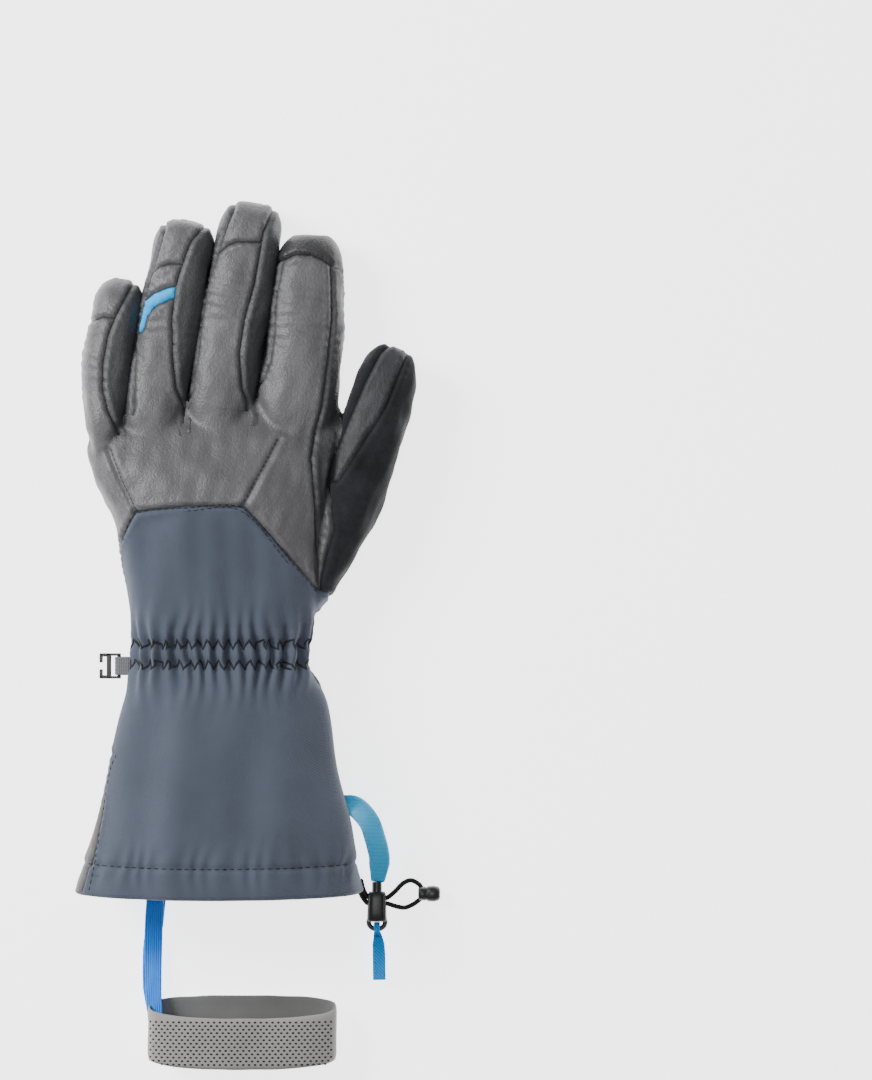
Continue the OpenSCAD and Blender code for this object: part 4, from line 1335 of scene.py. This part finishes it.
def tether():
    """Blue ribbon, two layers deep, from the cuff's side to the cord lock."""
    corners = [
        (60.5, -150.8, 28), (66.5, -152.0, 27.8), (73.0, -159.5, 20), (76.2, -168.8, 13),
        (78.2, -177.5, 8.6), (78.0, -184.2, 6.6), (77.4, -190.4, 5.2),
    ]
    path = smooth_path(corners, 0.8)
    n = len(path)
    rolls = np.interp(np.linspace(0, 1, n), [0, 0.2, 0.45, 0.75, 1], [0.5, 0.25, -0.1, 0.18, 0.0])
    front = strap(path, [5.0, 5.4, 5.3, 5.3, 5.3, 5.2, 3.4], 0.45, rolls)
    back = strap(path - (0.4, 0.2, 0.9), [4.8, 5.0, 5.0, 4.8, 5.0, 4.8, 3.0], 0.4, rolls * 0.3 - 0.12)
    trim("tether_ribbon_loop", [front, back], BLUE_RIBBON, "gauntlet", ("tether_ribbon",))


def hem_cords():
    """The two cords that come out of the hem and run into the lock."""
    ends = [
        [(69, -189, 9.8), (70.2, -194, 7.6), (72.0, -197.6, 5.6), (74.5, -199.0, 4.8)],
        [(67.6, -190, 8.6), (68.8, -196, 6.4), (71.4, -200.4, 5.0), (74.5, -202.4, 4.4)],
    ]
    parts = [tube(smooth_path(p, 0.7), CORD_DIAMETER / 2, 12) for p in ends]
    trim("hem_cord_ends", parts, BLACK_CORD, "gauntlet", ("hem_cord",))


def free_cord():
    """The cord's loose loop past the lock, turning inside the bead that closes it."""
    turn = [(102.0, -195.4, 3.6), (103.2, -196.6, 4.0), (102.0, -197.8, 3.6)]
    corners = [(79.6, -199.4, 4.4)] + LOOP_PATH + turn + LOOP_BACK_PATH[::-1] + [(79.6, -201.2, 4.4)]
    path = smooth_path(corners, 0.8)
    curve = bpy.data.curves.new("hem_cord_loop", "CURVE")
    curve.dimensions = "3D"
    curve.bevel_depth = CORD_DIAMETER / 2 * MM
    curve.bevel_resolution = 4
    spline = curve.splines.new("POLY")
    spline.points.add(len(path) - 1)
    for point, place in zip(spline.points, path):
        point.co = (*(place * MM), 1)
    curve.use_fill_caps = True
    curve.materials.append(BLACK_CORD)
    cord = bpy.data.objects.new("hem_cord_loop", curve)
    bpy.context.scene.collection.objects.link(cord)
    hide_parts("cord_loop")
    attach(cord, "gauntlet")
    # The bead's sections along X: place, half width, half height.
    rows = [
        (97.6, 2.6, 3.0), (98.2, 3.3, 3.4), (101.4, 3.5, 3.5), (101.8, 3.1, 3.2), (102.4, 3.8, 3.6),
        (105.6, 4.0, 3.7), (107.8, 3.4, 3.2), (108.6, 2.2, 2.0),
    ]
    rings = [section((-196.6, x, 3.9), 0, w, h, steps=32, p=0.85)[:, [1, 0, 2]] for x, w, h in rows]
    bead = trim("cord_end_bead", [loft(rings)], BLACK_PLASTIC, "gauntlet", ("cord_bead",))


LOCK_X, LOCK_Y, LOCK_Z = 77.0, -200.0, 4.4


def lock_barrel():
    """Rounded barrel of the cord lock with its large eye; the plunger stays in its bore."""
    # The barrel's sections along Y from the bore: place, half width, half height.
    rows = [
        (-10.4, 4.7, 3.2), (-9.4, 5.0, 3.8), (-6, 4.8, 4.1), (0, 4.6, 4.1), (3.4, 4.5, 4.0),
        (4.4, 4.0, 3.5),
    ]
    rings = [section((LOCK_X, LOCK_Y + d, LOCK_Z), 0, w, h, steps=40, p=0.62) for d, w, h in rows]
    parts = [loft(rings)]
    t = np.linspace(0, 2 * np.pi, 49)[:-1]
    eye = []
    for a in t:
        out = np.array([math.cos(a), math.sin(a), 0])
        middle = np.array([LOCK_X, LOCK_Y - 10.8, LOCK_Z]) + out * (4.1, 3.5, 0)
        ring = [middle + out * 1.25 * math.cos(b) + np.array([0, 0, 1.7 * math.sin(b)]) for b in t[::4]]
        eye.append(np.array(ring))
    parts.append((np.concatenate(eye), closed_strips(len(eye), len(eye[0]))))
    for x in (LOCK_X - 3.6, LOCK_X + 3.6):
        lo, hi = (x - 0.7, LOCK_Y - 8, LOCK_Z + 2.6), (x + 0.7, LOCK_Y + 3, LOCK_Z + 4.3)
        parts.append(rounded_box(lo, hi, 0.5))
    trim("cord_lock_barrel", parts, BLACK_PLASTIC, "gauntlet", ("cord_lock_body",))


def pull_tab():
    """Blue tab: a loop through the lock's eye, a hanging end, and the bar of thread between."""
    y, z = LOCK_Y - 13.4, LOCK_Z
    turn = np.linspace(0, 2 * np.pi, 33)
    ring = np.array([(LOCK_X, y + 2.3 * math.cos(a), z + 2.3 * math.sin(a)) for a in turn])
    loop = strap(ring, [1.5, 1.5], 0.4, sides=[(1, 0, 0)] * len(ring))
    corners = [
        (77.0, -215.4, z), (77.6, -219, z + 0.3), (78.0, -226, z - 0.2), (78.1, -234, z + 0.1),
        (78.2, -239.6, z),
    ]
    tab = strap(smooth_path(corners, 0.8), [1.6, 3.0, 3.2, 3.2, 3.2], 0.75, ridges=6, depth=0.1)
    trim("pull_tab_webbing", [loop, tab], BLUE_TAB, "tab", ("pull_tab",))
    bar = []
    for k in (0.0, 0.7):
        row = [(75.2, -217.6 - k, z + 0.85), (77.0, -217.2 - k, z + 1.0), (79.4, -217.8 - k, z + 0.85)]
        bar.append(tube(row, 0.28, 6))
    trim("pull_tab_stitch", bar, BLUE_THREAD, "tab")


def side_clip():
    """Hook clip with rounded arms and the webbing that holds its bar."""
    cx, cy, cz = -50.8, -82.5, 21.0
    boxes = [((-6.2, -6.3, -1.1), (-3.9, 6.3, 1.1))]
    for side in (-1, 1):
        for x0, x1, y0, y1 in ((-6.0, 0.8, 5.0, 6.3), (-9.7, -5.0, 4.6, 6.3), (-9.8, -8.1, 1.6, 6.2)):
            lo, hi = sorted((side * y0, side * y1))
            boxes.append(((x0, lo, -1.1), (x1, hi, 1.1)))
    centre = np.array([cx, cy, cz])
    parts = [rounded_box(centre + a, centre + b, 0.45) for a, b in boxes]
    parts.append(tube([(cx, cy - 6.2, cz), (cx, cy, cz), (cx, cy + 6.2, cz)], 0.95, 16, ends=1.0))
    trim("side_hook_clip", parts, BLACK_PLASTIC, "clip", ("hook_clip",))
    turn = np.linspace(-np.pi / 2, np.pi / 2, 13)
    path = [(-43.6, cy, cz + 1.9), (-46.5, cy, cz + 1.7)]
    path += [(cx - 1.65 * math.cos(a), cy, cz + 1.65 * math.sin(a)) for a in turn[::-1]]
    path += [(-46.5, cy, cz - 1.7), (-43.6, cy, cz - 1.9)]
    path = np.array(path)
    belt = strap(path, [4.6, 4.5, 4.5, 4.6], 0.5, ridges=5, depth=0.1, sides=[(0, 1, 0)] * len(path))
    trim("clip_webbing_loop", [belt], GREY_WEBBING, "gauntlet", ("clip_webbing",))


# ---------------------------------------------------------------- the leash
BAND_X, BAND_HALF_LENGTH, BAND_HALF_HEIGHT, BAND_SHEAR = 10.0, 47.0, 12.0, 0.4
BAND_EDGES = (-282.0, -257.0)


def band_point(t, y, inset):
    """Point on the flattened band: t is the angle around it and y the place across its width."""
    w, h = BAND_HALF_LENGTH - inset, BAND_HALF_HEIGHT - inset
    x, z = BAND_X + w * power(np.cos(t), 0.72), BAND_HALF_HEIGHT + h * power(np.sin(t), 0.72)
    sag = 1.1 * np.cos((x - BAND_X) / BAND_HALF_LENGTH * np.pi / 2) * (z > BAND_HALF_HEIGHT)
    return np.stack([x, y + (2 * BAND_HALF_HEIGHT - z) * BAND_SHEAR - sag, z], axis=-1)


def wrist_band():
    """Stretch band sewn into a loop and lying on its edge; returns its surface."""
    steps, rows = 220, 12
    t = np.linspace(0, 2 * np.pi, steps, endpoint=False)
    ys = np.linspace(*BAND_EDGES, rows)
    rings = [band_point(t, BAND_EDGES[0] + 0.4, 1.2)]
    rings += [band_point(t, y, 0.35 if k in (0, rows - 1) else 0.0) for k, y in enumerate(ys)]
    rings += [band_point(t, BAND_EDGES[1] + 0.1, 0.8)]
    rings += [band_point(t, y, 1.5) for y in ys[::-1]]
    verts = np.concatenate(rings)
    faces = closed_strips(len(rings), steps)
    verts += 0.12 * waves(verts, 14, 61)[:, None]
    band = trim("wrist_band", [(verts, faces)], BAND_FABRIC, "leash", ("leash_band",))
    # the inside faces take the darker material, which is painted shade in part
    band.data.materials.append(BAND_INSIDE_TONE_AND_SHADE)
    for k, polygon in enumerate(band.data.polygons):
        polygon.material_index = int(k // steps > rows)
    return verts, faces


def band_perforations(verts, faces):
    """Rows of small dark discs on both outer faces of the band: painted shade where its holes are."""
    tree = BVHTree.FromPolygons([tuple(v) for v in verts], faces)
    holes = []
    circle = np.linspace(0, 2 * np.pi, 8, endpoint=False)
    for side in (1, -1):
        for row, dy in enumerate(np.arange(1.6, 24.0, 1.75)):
            for x in np.arange(-45.5 + 1.45 * (row % 2), 45.6, 2.9):
                y = BAND_EDGES[0] + dy + (0 if side > 0 else 2 * BAND_HALF_HEIGHT * BAND_SHEAR)
                start = Vector((BAND_X + x, y, 60.0 * side))
                hit, normal, _, _ = tree.ray_cast(start, Vector((0, 0, -1.0 * side)))
                if hit is None or abs(normal.z) < 0.25:
                    continue
                normal = normal if normal.z * side > 0 else -normal
                a = normal.cross(Vector((0, 1, 0))).normalized()
                b = normal.cross(a)
                middle = hit + normal * 0.05
                ring = [tuple(middle + a * 0.74 * math.cos(c) + b * 0.54 * math.sin(c)) for c in circle]
                low = [tuple(Vector(p) - normal * 0.2) for p in ring]
                holes.append(loft([np.array(low), np.array(ring)]))
    trim("band_perforations", holes, BAND_HOLE_PAINTED_SHADE, "leash")


def leash_straps():
    """Two layers of blue elastic from inside the cuff to the band."""
    corners = [
        (-33.4, -186, 10.2), (-33.4, -198, 10.4), (-34.2, -210, 7.2), (-34.8, -226, 3.0),
        (-34.6, -240, 5.6), (-34.1, -249, 9.6), (-33.4, -256, 12.0), (-33.0, -262, 12.4),
    ]
    line = smooth_path(corners, 1.0)
    n = len(line)
    at = np.linspace(0, 1, n)
    sway = np.interp(at, [0, 0.2, 0.45, 0.65, 0.85, 1], [0, 0.1, -0.1, -0.3, -0.1, 0.1])
    front = strap(line, [4.3, 4.4, 4.5, 4.6, 4.4, 3.9, 3.7], 0.55, sway, ridges=7, depth=0.1)
    shift = np.interp(at, [0, 0.3, 0.5, 0.75, 1], [1.6, 0.6, -0.8, -1.3, 0.4])
    behind = line - np.stack([-shift, np.zeros(n), np.full(n, 1.3)], axis=1)
    back = strap(behind, [4.3, 4.2, 4.3, 4.4, 4.3, 3.8, 3.4], 0.5, sway * 0.4, ridges=7, depth=0.1)
    trim("strap_layers", [front, back], BLUE_WEBBING, "leash", ("leash_webbing",))


stitching()
hem_fold()
cuff_lining()
tether()
hem_cords()
free_cord()
lock_barrel()
pull_tab()
side_clip()
band_perforations(*wrist_band())
leash_straps()

# ---------------------------------------------------------------- inner pieces keep their CAD shape
CAD_LOOKS = {
    "lining": LINING, "insulation": FILL, "elastic": BLACK_CORD, "black_plastic": BLACK_PLASTIC,
    "black_cord": BLACK_CORD, "spring_steel": STEEL, "blue_ribbon": BLUE_RIBBON,
    "blue_webbing": BLUE_WEBBING, "grey_webbing": GREY_WEBBING, "band_fabric": BAND_FABRIC,
    "touch_leather": CAP_LEATHER,
}
SLOT_OF = {s["node"]: s["material_slot"] for s in frame["record"]["subparts"]}
for node_name, node in frame["nodes"].items():
    look = CAD_LOOKS.get(SLOT_OF[node_name])
    if look:
        for material_slot in node.material_slots:
            material_slot.material = look

# ---------------------------------------------------------------- floor and light
floor = bpy.data.meshes.new("floor")
floor.from_pydata([(-6, -6, 0), (6, -6, 0), (6, 6, 0), (-6, 6, 0)], [], [(0, 1, 2, 3)])
floor_material = bpy.data.materials.new("floor")
floor_material.use_nodes = True
floor_shader = floor_material.node_tree.nodes["Principled BSDF"]
floor_shader.inputs["Base Color"].default_value = (0.92, 0.92, 0.92, 1)
floor_shader.inputs["Roughness"].default_value = 0.9
floor_shader.inputs["Emission Color"].default_value = (1, 1, 1, 1)
floor_shader.inputs["Emission Strength"].default_value = 2.9
floor.materials.append(floor_material)
floor_object = bpy.data.objects.new("floor", floor)
bpy.context.scene.collection.objects.link(floor_object)
floor_object.location.z = FLOOR_Z * MM

world = bpy.data.worlds.new("world")
world.use_nodes = True
world.node_tree.nodes["Background"].inputs["Color"].default_value = (1, 1, 1, 1)
world.node_tree.nodes["Background"].inputs["Strength"].default_value = 0.3
bpy.context.scene.world = world


def area_light(name, place, size, power_w, target=(0.0, -0.03, 0.0)):
    data = bpy.data.lights.new(name, "AREA")
    data.shape = "DISK"
    data.size = size
    data.energy = power_w
    obj = bpy.data.objects.new(name, data)
    obj.location = place
    obj.rotation_mode = "QUATERNION"
    obj.rotation_quaternion = (Vector(target) - Vector(place)).to_track_quat("-Z", "Y")
    bpy.context.scene.collection.objects.link(obj)


area_light("key", (-1.3, 0.7, 1.2), 0.8, 46)
area_light("top", (-0.14, -0.1, 2.2), 0.5, 11)
